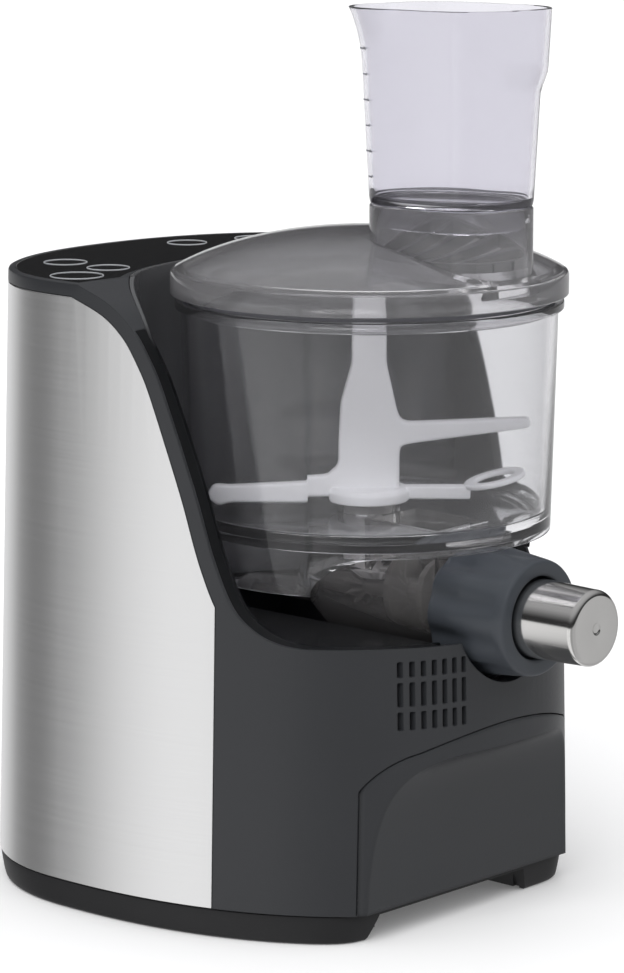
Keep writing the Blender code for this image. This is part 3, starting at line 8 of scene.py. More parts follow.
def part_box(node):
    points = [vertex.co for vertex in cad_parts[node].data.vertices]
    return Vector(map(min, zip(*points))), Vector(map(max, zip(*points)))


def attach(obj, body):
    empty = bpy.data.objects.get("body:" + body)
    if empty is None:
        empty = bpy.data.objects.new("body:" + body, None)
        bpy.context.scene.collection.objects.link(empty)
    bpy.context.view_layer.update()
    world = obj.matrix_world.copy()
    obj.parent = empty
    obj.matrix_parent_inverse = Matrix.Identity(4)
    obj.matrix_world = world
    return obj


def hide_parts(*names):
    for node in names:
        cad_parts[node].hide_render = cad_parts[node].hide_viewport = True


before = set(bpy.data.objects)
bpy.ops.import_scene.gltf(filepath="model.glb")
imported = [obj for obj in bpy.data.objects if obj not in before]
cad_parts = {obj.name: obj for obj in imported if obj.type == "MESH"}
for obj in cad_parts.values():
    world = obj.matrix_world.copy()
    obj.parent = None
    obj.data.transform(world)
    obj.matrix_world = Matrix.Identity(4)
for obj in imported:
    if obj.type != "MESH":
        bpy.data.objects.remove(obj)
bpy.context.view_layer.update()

# Camera at the photograph's place: ahead of the machine's left front, a little above it,
# looking slightly down. The lens is long, so the upright edges stay upright.

scene = bpy.context.scene


def aim(thing, azimuth, height):
    """Puts a camera or a lamp into the scene, looking back from an azimuth and a height in degrees."""
    turn, up = radians(azimuth), radians(height)
    away = Vector((cos(up) * cos(turn), cos(up) * sin(turn), sin(up)))
    thing.rotation_euler = (-away).to_track_quat("-Z", "Y").to_euler()
    scene.collection.objects.link(thing)


camera = bpy.data.cameras.new("photo_camera")
camera.lens = 145.47
camera.shift_y = -0.15
camera.clip_end = 60
view = bpy.data.objects.new("photo_view", camera)
view.location = (-1.2738, -1.1634, 0.4983)
aim(view, 222.654, 8.331)
scene.camera = view
scene.view_settings.view_transform = "Standard"

# Studio: a pale table top under the machine, three broad soft lamps, and a room whose bright walls
# and dark gaps show only in reflections. Behind everything the camera sees plain white.

table_reach = 14
table_glow = 0.10


def feed(node, sockets):
    """Gives sockets their values, or links them to another node's output."""
    for key, value in sockets.items():
        if isinstance(value, bpy.types.NodeSocket):
            node.id_data.links.new(value, node.inputs[key])
        else:
            node.inputs[key].default_value = value


def add_node(tree, kind, sockets=None, **settings):
    """A node with its settings made first, since they decide which sockets it has."""
    node = tree.nodes.new(kind)
    for name, value in settings.items():
        setattr(node, name, value)
    feed(node, sockets or {})
    return node


def computed(tree, operation, first, second):
    """The output of a Math node."""
    return add_node(tree, "ShaderNodeMath", {0: first, 1: second}, operation=operation).outputs[0]


def ranged(tree, value, low, high, to_low=0, to_high=1, ease="LINEAR"):
    """A value that goes from low to high, made to go from to_low to to_high."""
    sockets = {"Value": value, "From Min": low, "From Max": high, "To Min": to_low, "To Max": to_high}
    return add_node(tree, "ShaderNodeMapRange", sockets, interpolation_type=ease).outputs[0]


def mixed(tree, share, first, second):
    """The first colour, or the second where the share is 1."""
    sockets = {"Factor": share, "A": first, "B": second}
    return add_node(tree, "ShaderNodeMix", sockets, data_type="RGBA").outputs["Result"]


def picked(tree, share, first, second):
    """The first shader, or the second where the share is 1."""
    return add_node(tree, "ShaderNodeMixShader", {"Fac": share, 1: first, 2: second}).outputs[0]


def ramp(tree, value, stops, blue):
    """Greys by position, their blue a little stronger."""
    node = add_node(tree, "ShaderNodeValToRGB", {"Fac": value})
    elements = node.color_ramp.elements
    elements.remove(elements[-1])
    for at, (position, grey) in enumerate(stops):
        element = elements.new(position) if at else elements[0]
        element.position = position
        element.color = (grey, grey, grey * blue, 1)
    return node.outputs["Color"]


floor_mesh = bpy.data.meshes.new("table_top")
corners = [(x * table_reach, y * table_reach, 0) for x, y in ((-1, -1), (1, -1), (1, 1), (-1, 1))]
floor_mesh.from_pydata(corners, [], [(0, 1, 2, 3)])
floor = bpy.data.objects.new("table_top", floor_mesh)
scene.collection.objects.link(floor)
floor.visible_glossy = False
floor_paint = bpy.data.materials.new("table_white")
floor_paint.use_nodes = True
tree = floor_paint.node_tree
tree.nodes.clear()
rays = add_node(tree, "ShaderNodeLightPath").outputs
seen = computed(tree, "MAXIMUM", rays["Is Camera Ray"], rays["Is Transmission Ray"])
strength = computed(tree, "MULTIPLY", seen, table_glow)
glow = add_node(tree, "ShaderNodeEmission", {"Color": (1, 1, 1, 1), "Strength": strength})
matt = add_node(tree, "ShaderNodeBsdfDiffuse", {"Color": (0.82, 0.82, 0.82, 1)})
both = add_node(tree, "ShaderNodeAddShader", {0: matt.outputs[0], 1: glow.outputs[0]})
add_node(tree, "ShaderNodeOutputMaterial", {"Surface": both.outputs[0]})
floor_mesh.materials.append(floor_paint)

for lamp_name, strength, width, azimuth, height in (
    ("key_lamp", 1.55, 40, 205, 48),
    ("side_lamp", 0.75, 50, 300, 40),
    ("top_lamp", 0.70, 60, 90, 78),
):
    lamp = bpy.data.lights.new(lamp_name, "SUN")
    lamp.energy = strength
    lamp.angle = radians(width)
    stand = bpy.data.objects.new(lamp_name, lamp)
    stand.visible_glossy = False
    aim(stand, azimuth, height)

# The walls' brightness by direction, in degrees from +X towards +Y. Over the walls comes a dark band,
# then a grey ceiling, by the sine of the height: flat tops mirror the band, and domes the ceiling.
room_walls = (
    (-180, 0.62), (-177, 0.42), (-171, 1.00), (-163, 0.80), (-154, 0.45), (-135, 0.30), (-112, 0.42),
    (-80, 0.42), (-46, 0.48), (-4, 0.36), (30, 0.62), (52, 0.80), (70, 0.72), (83, 0.56), (97, 0.29),
    (112, 0.19), (124, 0.20), (134, 0.27), (141, 0.52), (149, 0.71), (160, 0.83), (176, 0.84),
)
room_ceiling = ((0.04, 0), (0.075, 0.02), (0.26, 0.03), (0.40, 0.13), (0.60, 0.32), (0.90, 0.42))
walls_end = (0.02, 0.075)
white_end = (0.02, 0.08)
world = bpy.data.worlds.new("studio_room")
world.use_nodes = True
scene.world = world
tree = world.node_tree
tree.nodes.clear()
rays = add_node(tree, "ShaderNodeLightPath").outputs
towards = add_node(tree, "ShaderNodeTexCoord").outputs["Generated"]
aspect = add_node(tree, "ShaderNodeSeparateXYZ", {0: towards}).outputs
turn_share = ranged(tree, computed(tree, "ARCTAN2", aspect["Y"], aspect["X"]), -pi, pi)
wall_stops = [((degrees + 180) / 360, grey) for degrees, grey in room_walls]
walls = ramp(tree, turn_share, wall_stops, 1.01)
ceiling = ramp(tree, aspect["Z"], room_ceiling, 1.02)
around = mixed(tree, ranged(tree, aspect["Z"], *walls_end), walls, ceiling)
room = add_node(tree, "ShaderNodeBackground", {"Color": around})
soft = add_node(tree, "ShaderNodeBackground", {"Color": (0.56, 0.56, 0.57, 1)})
white = add_node(tree, "ShaderNodeBackground", {"Color": (1, 1, 1, 1)})
# Light that goes straight through clear plastic leaves it level or downwards and meets white
level_out = ranged(tree, aspect["Z"], *white_end, 1, 0)
straight = computed(tree, "MULTIPLY", rays["Is Transmission Ray"], level_out)
mirror_like = computed(tree, "MAXIMUM", rays["Is Glossy Ray"], rays["Is Transmission Ray"])
seen = computed(tree, "MAXIMUM", rays["Is Camera Ray"], straight)
mirrored = picked(tree, mirror_like, soft.outputs[0], room.outputs[0])
backdrop = picked(tree, seen, mirrored, white.outputs[0])
add_node(tree, "ShaderNodeOutputWorld", {"Surface": backdrop})

# Base tray: a black moulded plate with a skirt that draws in to the table and a notch in front.
# Matt polypropylene, screwed under the housing; four rubber feet are pushed into it.

# The body's half width and its depths in front and behind, at its foot and at its top
body_foot, body_top = (0.1157, 0.1640, 0.0950), (0.1100, 0.1600, 0.0875)
plan_y = 0.0560
plan_power = 2.2
plan_steps = 168
bowl_y = -0.0240
seam_z, shelf_z, wrap_top_z, tower_z = 0.0133, 0.1287, 0.2716, 0.2776
seat_gap = 0.0003
# Cutting tools end at planes outside the machine, or a little past the face that they cut
far_ahead, far_aside, far_up, past = -0.16, 0.12, 0.4, 0.002


def between(first, last, share):
    """The value at a share of the way from first to last."""
    return first + (last - first) * share


def oval(half_width, front, rear, power, steps):
    """Points of a rounded oval, with its own depth in front and behind."""
    points = []
    for at in range(steps):
        angle = tau * at / steps
        across, along = cos(angle), sin(angle)
        depth = rear if along > 0 else front
        points.append((
            copysign(abs(across) ** (2 / power), across) * half_width,
            copysign(abs(along) ** (2 / power), along) * depth,
        ))
    return points


def body_ring(height, inset):
    """The machine's egg-shaped plan at a height, drawn in by an inset."""
    share = (height - seam_z) / (tower_z - seam_z)
    sizes = [between(low, high, share) - inset for low, high in zip(body_foot, body_top)]
    return [(x, plan_y + y, height) for x, y in oval(*sizes, plan_power, plan_steps)]


def new_piece(name, shape, place=None):
    """A shape as an object whose place is in its mesh."""
    if place is not None:
        shape.transform(place)
    bmesh.ops.remove_doubles(shape, verts=shape.verts, dist=0.000001)
    bmesh.ops.recalc_face_normals(shape, faces=shape.faces)
    mesh = bpy.data.meshes.new(name)
    shape.to_mesh(mesh)
    shape.free()
    piece = bpy.data.objects.new(name, mesh)
    scene.collection.objects.link(piece)
    return smoothed(piece)


def smoothed(piece):
    """Shades a piece smooth but for its creases."""
    piece.data.shade_smooth()
    piece.data.set_sharp_from_angle(angle=radians(32))
    return piece


def loft(name, rings, place=None, closed=False):
    """Skin over rings of equal count, capped at both ends or run round into itself."""
    shape = bmesh.new()
    rows = [[shape.verts.new(point) for point in ring] for ring in rings]
    pairs = list(zip(rows, rows[1:]))
    if closed:
        pairs.append((rows[-1], rows[0]))
    for low, high in pairs:
        for at in range(len(low)):
            after = (at + 1) % len(low)
            shape.faces.new((low[at], low[after], high[after], high[at]))
    if not closed:
        shape.faces.new(rows[0])
        shape.faces.new(rows[-1])
    return new_piece(name, shape, place)


def stacked(name, ring, rows, closed=False):
    """Skin over the rings that a function gives for rows of (height, inset)."""
    return loft(name, [ring(height, inset) for height, inset in rows], closed=closed)


def turned(name, profile, steps, place=None, closed=False):
    """A profile of (radius, height) turned about local Z."""
    spokes = [(cos(tau * at / steps), sin(tau * at / steps)) for at in range(steps)]
    rings = [[(radius * x, radius * y, height) for x, y in spokes] for radius, height in profile]
    return loft(name, rings, place, closed)


def rod(name, radius, start, end, place, steps=96):
    """A plain cylinder about local Z."""
    return turned(name, [(0, start), (radius, start), (radius, end), (0, end)], steps, place)


def prism(name, outline, low, high, along):
    """A flat outline made thick along X from (y, z), or along Y from (x, z)."""
    axis = "XY".index(along)
    rings = [[(*point[:axis], depth, *point[axis:]) for point in outline] for depth in (low, high)]
    return loft(name, rings)


def block(name, low, high):
    """A box between two corners."""
    shape = bmesh.new()
    bmesh.ops.create_cube(shape, size=1)
    bmesh.ops.scale(shape, vec=[b - a for a, b in zip(low, high)], verts=shape.verts)
    bmesh.ops.translate(shape, vec=[(a + b) / 2 for a, b in zip(low, high)], verts=shape.verts)
    return new_piece(name, shape)


def settle(piece):
    """Makes the modifiers' result the piece's plain mesh."""
    evaluated = piece.evaluated_get(bpy.context.evaluated_depsgraph_get())
    mesh = bpy.data.meshes.new_from_object(evaluated)
    piece.modifiers.clear()
    piece.data = mesh
    return smoothed(piece)


def paint(piece, finish):
    """Gives the whole piece one finish."""
    piece.data.materials.clear()
    piece.data.materials.append(finish)
    piece.data.polygons.foreach_set("material_index", [0] * len(piece.data.polygons))


def carve(piece, tool, how="DIFFERENCE", solver="EXACT"):
    """Cuts a piece with a tool, joins the tool on, or keeps what lies in it. The tool is used up."""
    step = piece.modifiers.new("carve", "BOOLEAN")
    step.operation = how
    step.solver = solver
    step.object = tool
    settle(piece)
    bpy.data.objects.remove(tool)
    return piece


def rounded(points, radius, steps=4, closed=False):
    """A line with each corner drawn round, by less where a stretch is short."""
    count = len(points)
    line = []
    for at in range(count):
        here = Vector(points[at])
        if not closed and at in (0, count - 1):
            line.append(tuple(here))
            continue
        before, after = Vector(points[at - 1]), Vector(points[(at + 1) % count])
        back, on = before - here, after - here
        cut_back = here + back.normalized() * min(radius, back.length * 0.45)
        cut_on = here + on.normalized() * min(radius, on.length * 0.45)
        for step in range(steps + 1):
            t = step / steps
            line.append(tuple(cut_back.lerp(here, t).lerp(here.lerp(cut_on, t), t)))
    return line


def new_finish(name):
    """A material with its node tree, its shader and the place that its patterns are read at."""
    finish = bpy.data.materials.new(name)
    finish.use_nodes = True
    tree = finish.node_tree
    where = add_node(tree, "ShaderNodeTexCoord").outputs["Object"]
    return finish, tree, tree.nodes["Principled BSDF"], where


def noise(tree, where, scale, detail, roughness=0.5):
    """A cloudy pattern, with so many clouds to a metre."""
    sockets = {"Vector": where, "Scale": scale, "Detail": detail, "Roughness": roughness}
    return add_node(tree, "ShaderNodeTexNoise", sockets).outputs["Fac"]


def shades(tree, pattern, colour, uneven):
    """A colour that a pattern makes a little darker and lighter."""
    dark, light = ([*[part * (1 + change) for part in colour], 1] for change in (-uneven, uneven))
    return mixed(tree, pattern, dark, light)


def relief(tree, height, strength, depth, edge):
    """Normals with a pattern's relief in them, and with edges softened by a radius."""
    soft_edge = add_node(tree, "ShaderNodeBevel", {"Radius": edge}, samples=4)
    sockets = {"Height": height, "Strength": strength, "Distance": depth, "Normal": soft_edge.outputs[0]}
    return add_node(tree, "ShaderNodeBump", sockets).outputs[0]


def moulded(name, colour, roughness, grain=0.10, grain_size=0.0009, uneven=0.10, specular=0.5, edge=0.0006):
    """Moulded plastic: fine grain in its gloss and relief, slightly uneven colour, softened edges."""
    finish, tree, shader, where = new_finish(name)
    speck = noise(tree, where, 1 / grain_size, 2)
    feed(shader, {
        "Specular IOR Level": specular,
        "Base Color": shades(tree, noise(tree, where, 28, 4), colour, uneven),
        "Roughness": ranged(tree, speck, 0, 1, max(0.02, roughness - 0.05), roughness + 0.05),
        "Normal": relief(tree, speck, grain, 0.0002, edge),
    })
    return finish


base_front = -0.0800
base_corner = 0.0040
base_draw = 0.0022
base_skirt = 0.0032
base_inset, base_plate = 0.0005, 0.0026
base_low, base_high = 0.0004, seam_z - seat_gap
# How far the skirt is drawn in, as a share of base_draw, by its share of the height
base_sides = (
    (0, 1.20), (0.03, 0.98), (0.08, 0.80), (0.20, 0.62), (0.35, 0.45), (0.55, 0.26), (0.75, 0.10),
    (0.92, 0.0), (0.98, 0.05), (1, 0.20),
)
notch_left, notch_right, notch_top = -0.0620, 0.0460, base_high - 0.0022
corner_wall, corner_low, corner_rear = 0.0030, 0.0012, -0.0500
foot_places = ((0.0600, -0.0660), (0.0720, 0.0980))
pad_radius, pad_low = 0.0120, 0.0030


def base_ring(height, inset):
    """The body's plan, held back in front along a line with soft corners."""
    front = base_front + inset
    ring = []
    for x, y, _ in body_ring(seam_z, inset):
        painted_light_share = (y - front) / base_corner
        kept = log1p(exp(-abs(painted_light_share))) + max(painted_light_share, 0)
        ring.append((x, front + base_corner * kept, height))
    return ring


sides = [(between(base_low, base_high, up), base_inset + base_draw * draw) for up, draw in base_sides]
base = stacked("base_shell", base_ring, sides)
inside = base_draw + base_skirt
hollow = stacked("base_hollow", base_ring, ((-past, inside), (base_high - base_plate, inside)))
feet = [Matrix.Translation((side * x, y, 0)) for x, y in foot_places for side in (-1, 1)]
for foot in feet:
    carve(hollow, rod("foot_pad", pad_radius, pad_low, base_high, foot, 48))
for left, right in ((-far_aside, notch_left + corner_wall), (notch_right - corner_wall, far_aside)):
    carve(hollow, block("front_corner", (left, far_ahead, corner_low), (right, corner_rear, 0.1)))
carve(base, hollow)
notch = [
    (notch_left, -past), (notch_right, -past), (notch_right - 0.0040, notch_top),
    (notch_left + 0.0080, notch_top),
]
carve(base, prism("base_notch", notch, far_ahead, base_front + inside + past, "Y"))
foot_socket = [(0, -past), (0.0098, -past), (0.0098, 0.0040), (0.0033, 0.0040), (0.0033, 0.02), (0, 0.02)]
for foot in feet:
    carve(base, turned("foot_socket", foot_socket, 48, foot))
base_black = moulded("base_black", (0.0130, 0.0130, 0.0140), 0.50, grain=0.18, specular=0.42)
paint(base, base_black)
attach(base, "machine")
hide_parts("base_tray")

foot_rubber = moulded(
    "foot_rubber", (0.020, 0.020, 0.020), 0.78, grain=0.35, grain_size=0.0005, specular=0.25
)
for name in ("foot_front_left", "foot_front_right", "foot_rear_left", "foot_rear_right"):
    paint(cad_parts[name], foot_rubber)

# Main housing: one large dark grey moulding with front, shelf, tower edge and top rim.
# ABS with a fine satin grain. A grille of short slots is moulded through its front.

# The tower's front edge: shares of its run backwards and of its rise
swoosh_shares = (
    (0.000, 0.000), (0.087, 0.012), (0.173, 0.044), (0.257, 0.109), (0.336, 0.245), (0.421, 0.443),
    (0.555, 0.703), (0.629, 0.810), (0.712, 0.892), (0.830, 0.955), (1.000, 1.000),
)
swoosh_foot_y = bowl_y - 0.0376
swoosh_run = 0.1090
wrap_foot_share = 0.100
trim_width = 0.0065
wrap_sheet = 0.0010
housing_wall = 0.0026
panel_thickness = 0.0022
panel_rim = 0.0034
recess_half_width, recess_rear, recess_front = 0.1060, 0.0950, 0.306
recess_power, recess_rim, recess_floor_z = 2.3, 0.0065, shelf_z - 0.0032
panel_room_half_width, panel_room_rear = 0.1250, 0.0965
trough_radius, trough_rear = 0.0358, 0.0800
lip_radius, lip_start, lip_end = 0.0298, 0.0700, 0.0900
flange_low, flange_high, flange_inset, flange_width = 0.1, 0.2600, 0.0013, 0.0012
drawer_half_width, drawer_foot_half_width, drawer_top = 0.0730, 0.0757, 0.0835
drawer_bend, drawer_crown = 0.0330, 0.0075
drawer_face_y = -0.0800
die_z = 0.1380
lying = Matrix.Translation((0, bowl_y, die_z)) @ Matrix.Rotation(pi / 2, 4, "X")
over_bowl = Matrix.Translation((0, bowl_y, 0))


def through(points, steps):
    """A smooth line through all points, each stretch cut into equal steps."""
    ends = [points[0], *points, points[-1]]
    line = []
    for at in range(1, len(ends) - 2):
        before, start, end, after = (Vector(ends[at + k]) for k in (-1, 0, 1, 2))
        for step in range(steps):
            t = step / steps
            line.append(tuple((
                2 * start
                + (end - before) * t
                + (2 * before - 5 * start + 4 * end - after) * t**2
                + (3 * start - before - 3 * end + after) * t**3
            ) / 2))
    line.append(tuple(points[-1]))
    return line


def swoosh_line(setback):
    """The tower's front edge in (y, z), moved back into the tower by a setback."""
    foot, length = swoosh_foot_y, swoosh_run
    line = [(foot + run * length, between(shelf_z, tower_z, rise)) for run, rise in swoosh_shares]
    line = through(line, 6)
    moved = []
    for at, (y, z) in enumerate(line):
        y0, z0 = line[max(at - 1, 0)]
        y1, z1 = line[min(at + 1, len(line) - 1)]
        step = hypot(y1 - y0, z1 - z0)
        moved.append((y + (z1 - z0) / step * setback, z - (y1 - y0) / step * setback))
    return moved


def open_front(setback):
    """All that lies in front of the tower and over the shelf."""
    line = swoosh_line(setback)
    outline = [(far_ahead, line[0][1]), *line, (line[-1][0], far_up), (far_ahead, far_up)]
    return prism("open_front", outline, -far_aside, far_aside, "X")


def wrap_front(gap):
    """All that lies in front of the steel's edge, which ends upright at its foot."""
    foot = between(shelf_z, tower_z, wrap_foot_share)
    line = [point for point in swoosh_line(trim_width - gap) if point[1] > foot]
    foot_line = [(far_ahead, -past), (line[0][0], -past)]
    outline = [*foot_line, *line, (line[-1][0], far_up), (far_ahead, far_up)]
    return prism("wrap_front", outline, -far_aside, far_aside, "X")


def body_form(name, low, high, inset):
    """The machine's body between two heights, drawn in by an inset."""
    return stacked(name, body_ring, ((low, inset), (high, inset)))


def bowl_room(name, half_width, rear, power, low, high):
    """An upright oval round the bowl that reaches far out in front."""
    plan = oval(half_width, recess_front, rear, power, plan_steps)
    return loft(name, [[(x, bowl_y + y, z) for x, y in plan] for z in (low, high)])


def recess_form(name, grow, ceiling=far_up):
    """The hollow that the bowl stands in, with the trough that its barrel lies in."""
    half_width, rear, low = recess_half_width + grow, recess_rear + grow, recess_floor_z - grow
    hollow = bowl_room(name, half_width, rear, recess_power, low, ceiling)
    carve(hollow, body_form("recess_limit", -past, ceiling + past, recess_rim - grow), "INTERSECT")
    return carve(hollow, rod("trough", trough_radius + grow, -trough_rear - grow, 0.14, lying), "UNION")


def drawer_outline(grow):
    """The arch of the drawer in (x, z), counter-clockwise from its right foot."""
    corner_x, corner_z = drawer_half_width + grow - drawer_bend, drawer_top + grow - drawer_bend
    half = [(drawer_foot_half_width + grow, seam_z + seat_gap - grow)]
    for step in range(17):
        angle = radians(78 * step / 16)
        half.append((corner_x + drawer_bend * cos(angle), corner_z + drawer_bend * sin(angle)))
    edge_x, edge_z = half[-1]
    for step in range(1, 13):
        share = 1 - step / 12
        half.append((edge_x * share, between(drawer_top + grow + drawer_crown, edge_z, share**2)))
    return half + [(-x, z) for x, z in reversed(half[:-1])]


def panel_form(name, low, high, grow):
    """The glass in the tower's top, cut hollow in front round the lid."""
    plate = body_form(name, low, high, panel_rim - grow)
    half_width, rear = panel_room_half_width - grow, panel_room_rear - grow
    carve(plate, bowl_room("panel_front", half_width, rear, 2, low - past, high + past))
    return carve(plate, open_front(panel_rim - grow))


shell = (
    (seam_z, 0.0003), (seam_z + 0.0004, 0), (tower_z - 0.0012, 0), (tower_z - 0.0004, 0.0003),
    (tower_z, 0.0011),
)
housing = stacked("housing_shell", body_ring, shell)
wrap_room = body_form("wrap_room", -past, wrap_top_z + seat_gap, -past)
carve(wrap_room, body_form("wrap_core", -2 * past, wrap_top_z + past, wrap_sheet + seat_gap))
carve(wrap_room, wrap_front(seat_gap))
carve(housing, wrap_room)
carve(housing, open_front(0))
carve(housing, recess_form("housing_recess", 0))
cavity_top, cavity_inset = tower_z - panel_thickness - housing_wall, housing_wall + wrap_sheet + seat_gap
cavity = body_form("housing_cavity", -past, cavity_top, cavity_inset)
carve(cavity, open_front(housing_wall))
carve(housing, cavity)
carve(housing, panel_form("panel_pocket", tower_z - panel_thickness, tower_z + past, seat_gap))
carve(housing, prism("drawer_opening", drawer_outline(0.0005), far_ahead, drawer_face_y, "Y"))
# A lip inside the trough's mouth comes close round the lock nut
lip_corners = [
    (0.0380, lip_start), (0.0380, lip_end), (lip_radius, lip_end), (lip_radius, lip_start + 0.0040),
    (lip_radius + 0.0014, lip_start),
]
trough_lip = turned("trough_lip", lip_corners, 96, lying, closed=True)
carve(trough_lip, body_form("lip_limit", 0.06, shelf_z, 0.00002), "INTERSECT", "MANIFOLD")
carve(housing, trough_lip, "UNION", "MANIFOLD")
flange_room = body_form("flange_room", flange_low, flange_high, flange_inset)
carve(housing, carve(flange_room, open_front(flange_width), "INTERSECT", "MANIFOLD"))
grille_x, grille_top, grille_pitch, slot_width = -0.0410, 0.1232, 0.0045, 0.0023
tallest_slot, slot_gap = 0.0105, 0.0022
for column in range(7):
    left = grille_x + (column - 3) * grille_pitch - slot_width / 2
    right = left + slot_width
    top = grille_top
    for share in (0.65, 1.00, 0.76):
        low = top - tallest_slot * share
        corners = [(left, low), (right, low), (right, top), (left, top)]
        outline = rounded(corners, 0.0007, 3, closed=True)
        carve(housing, prism("grille_slot", outline, far_ahead, -0.05, "Y"))
        top = low - slot_gap
housing_grey = moulded("housing_grey", (0.0270, 0.0285, 0.0315), 0.36, grain=0.22, uneven=0.05)
paint(housing, housing_grey)
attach(housing, "machine")
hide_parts("main_housing")

# Steel wrap: one bent sheet of stainless steel round the sides and the back of the housing.
# It is brushed level all round, and its front edges follow the tower's curve.


def brushed(name, colour, roughness, streak, across):
    """Brushed steel: long fine streaks in its colour, gloss and relief."""
    finish, tree, shader, where = new_finish(name)
    stretched = add_node(tree, "ShaderNodeMapping", {"Vector": where, "Scale": across}).outputs[0]
    lines = noise(tree, stretched, 6, 6, 0.7)
    feed(shader, {
        "Metallic": 1,
        "Base Color": shades(tree, lines, colour, streak),
        "Roughness": ranged(tree, lines, 0, 1, roughness - 0.05, roughness + 0.07),
        "Normal": relief(tree, lines, 0.10, 0.00008, 0.0003),
    })
    return finish


sheet = ((seam_z + seat_gap, 0), (0.09, 0), (0.18, 0), (wrap_top_z - 0.0004, 0), (wrap_top_z, 0.0003))
wrap = stacked("steel_sheet", body_ring, sheet)
carve(wrap, body_form("wrap_inside", -past, tower_z, wrap_sheet))
carve(wrap, wrap_front(0))
brushed_steel = brushed("brushed_steel", (0.93, 0.93, 0.925), 0.20, 0.05, (1.2, 1.2, 150))
paint(wrap, brushed_steel)
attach(wrap, "machine")
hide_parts("steel_wrap")

# Recess liner: glossy black moulding that lines the hollow behind and under the bowl, with a satin
# flange along the shelf and the tower's front edge. ABS; two ribs in its trough carry the barrel.

liner_wall = 0.0018
rib_half_width, rib_half_length, rib_places = 0.0135, 0.0020, (0.0400, 0.0020)
barrel_radius = 0.0205
shaft_hole_radius, switch_hole_radius, switch_z = 0.0095, 0.0028, 0.2650
flange_gap, nut_room_radius = 0.0001, 0.0382
liner = recess_form("liner_shell", -seat_gap, tower_z)
switch_axis = Matrix.Translation((0, bowl_y, switch_z)) @ Matrix.Rotation(pi / 2, 4, "X")
for tool in (
    recess_form("liner_inside", -seat_gap - liner_wall),
    open_front(seat_gap),
    rod("shaft_hole", shaft_hole_radius, -0.115, -0.05, lying, 64),
    rod("switch_hole", switch_hole_radius, -0.115, -0.06, switch_axis, 32),
):
    carve(liner, tool, solver="MANIFOLD")
carve(liner, body_form("liner_limit", -past, tower_z + past, 0.0004), "INTERSECT", "MANIFOLD")
for ahead in rib_places:
    rib = block(
        "cradle_rib",
        (-rib_half_width, bowl_y - ahead - rib_half_length, die_z - trough_radius),
        (rib_half_width, bowl_y - ahead + rib_half_length, die_z - 0.0100),
    )
    carve(rib, rod("rib_core", trough_radius - liner_wall / 2, -0.08, 0.08, lying), "INTERSECT")
    carve(rib, rod("rib_seat", barrel_radius + seat_gap, -0.03, 0.08, lying))
    carve(liner, rib, "UNION", "MANIFOLD")
carve(liner, rod("lip_room", 0.05, lip_start - seat_gap, 0.12, lying), solver="MANIFOLD")
flange = body_form("liner_flange", flange_low, flange_high - flange_gap, flange_inset + flange_gap)
carve(flange, open_front(0), solver="MANIFOLD")
carve(flange, open_front(flange_width - flange_gap), "INTERSECT", "MANIFOLD")
carve(flange, rod("nut_room", nut_room_radius, 0.0600, 0.12, lying), solver="MANIFOLD")
carve(flange, recess_form("flange_hollow", -0.0002), solver="MANIFOLD")
liner_black = moulded("liner_black", (0.0045, 0.0050, 0.0056), 0.14, grain=0.03, uneven=0.15, specular=0.22)
# Painted light and shade: the wall behind the bowl, high up, is painted paler where light falls on it, and
# the flanks and trough keep the near black as painted shade
tree = liner_black.node_tree
shader = tree.nodes["Principled BSDF"]
where = add_node(tree, "ShaderNodeTexCoord").outputs["Object"]
along = add_node(tree, "ShaderNodeSeparateXYZ", {0: where}).outputs
far_back = ranged(tree, along["Y"], 0.008, 0.020, ease="SMOOTHSTEP")
high_up = ranged(tree, along["Z"], 0.146, 0.158, ease="SMOOTHSTEP")
painted_light_share = computed(tree, "MULTIPLY", far_back, high_up)
painted_shade_black = shader.inputs["Base Color"].links[0].from_socket
feed(shader, {"Base Color": mixed(tree, painted_light_share, painted_shade_black, (0.085, 0.086, 0.089, 1))})
paint(liner, liner_black)
flange_black = moulded("flange_black", (0.0065, 0.0070, 0.0076), 0.50, grain=0.03, specular=0.16)
paint(flange, flange_black)
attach(flange, "machine")
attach(liner, "machine")
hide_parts("recess_liner")

# Control panel: a sheet of dark glass let into the tower's top, with its touch rings printed on it
# in grey. It is glued into a pocket of the housing, flush with the rim.

glass = panel_form("panel_glass", tower_z - panel_thickness + seat_gap, tower_z, 0)
panel_black = moulded("panel_black", (0.0080, 0.0080, 0.0085), 0.09, grain=0.0, uneven=0.08, specular=0.55)
paint(glass, panel_black)
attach(glass, "machine")
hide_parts("control_panel")


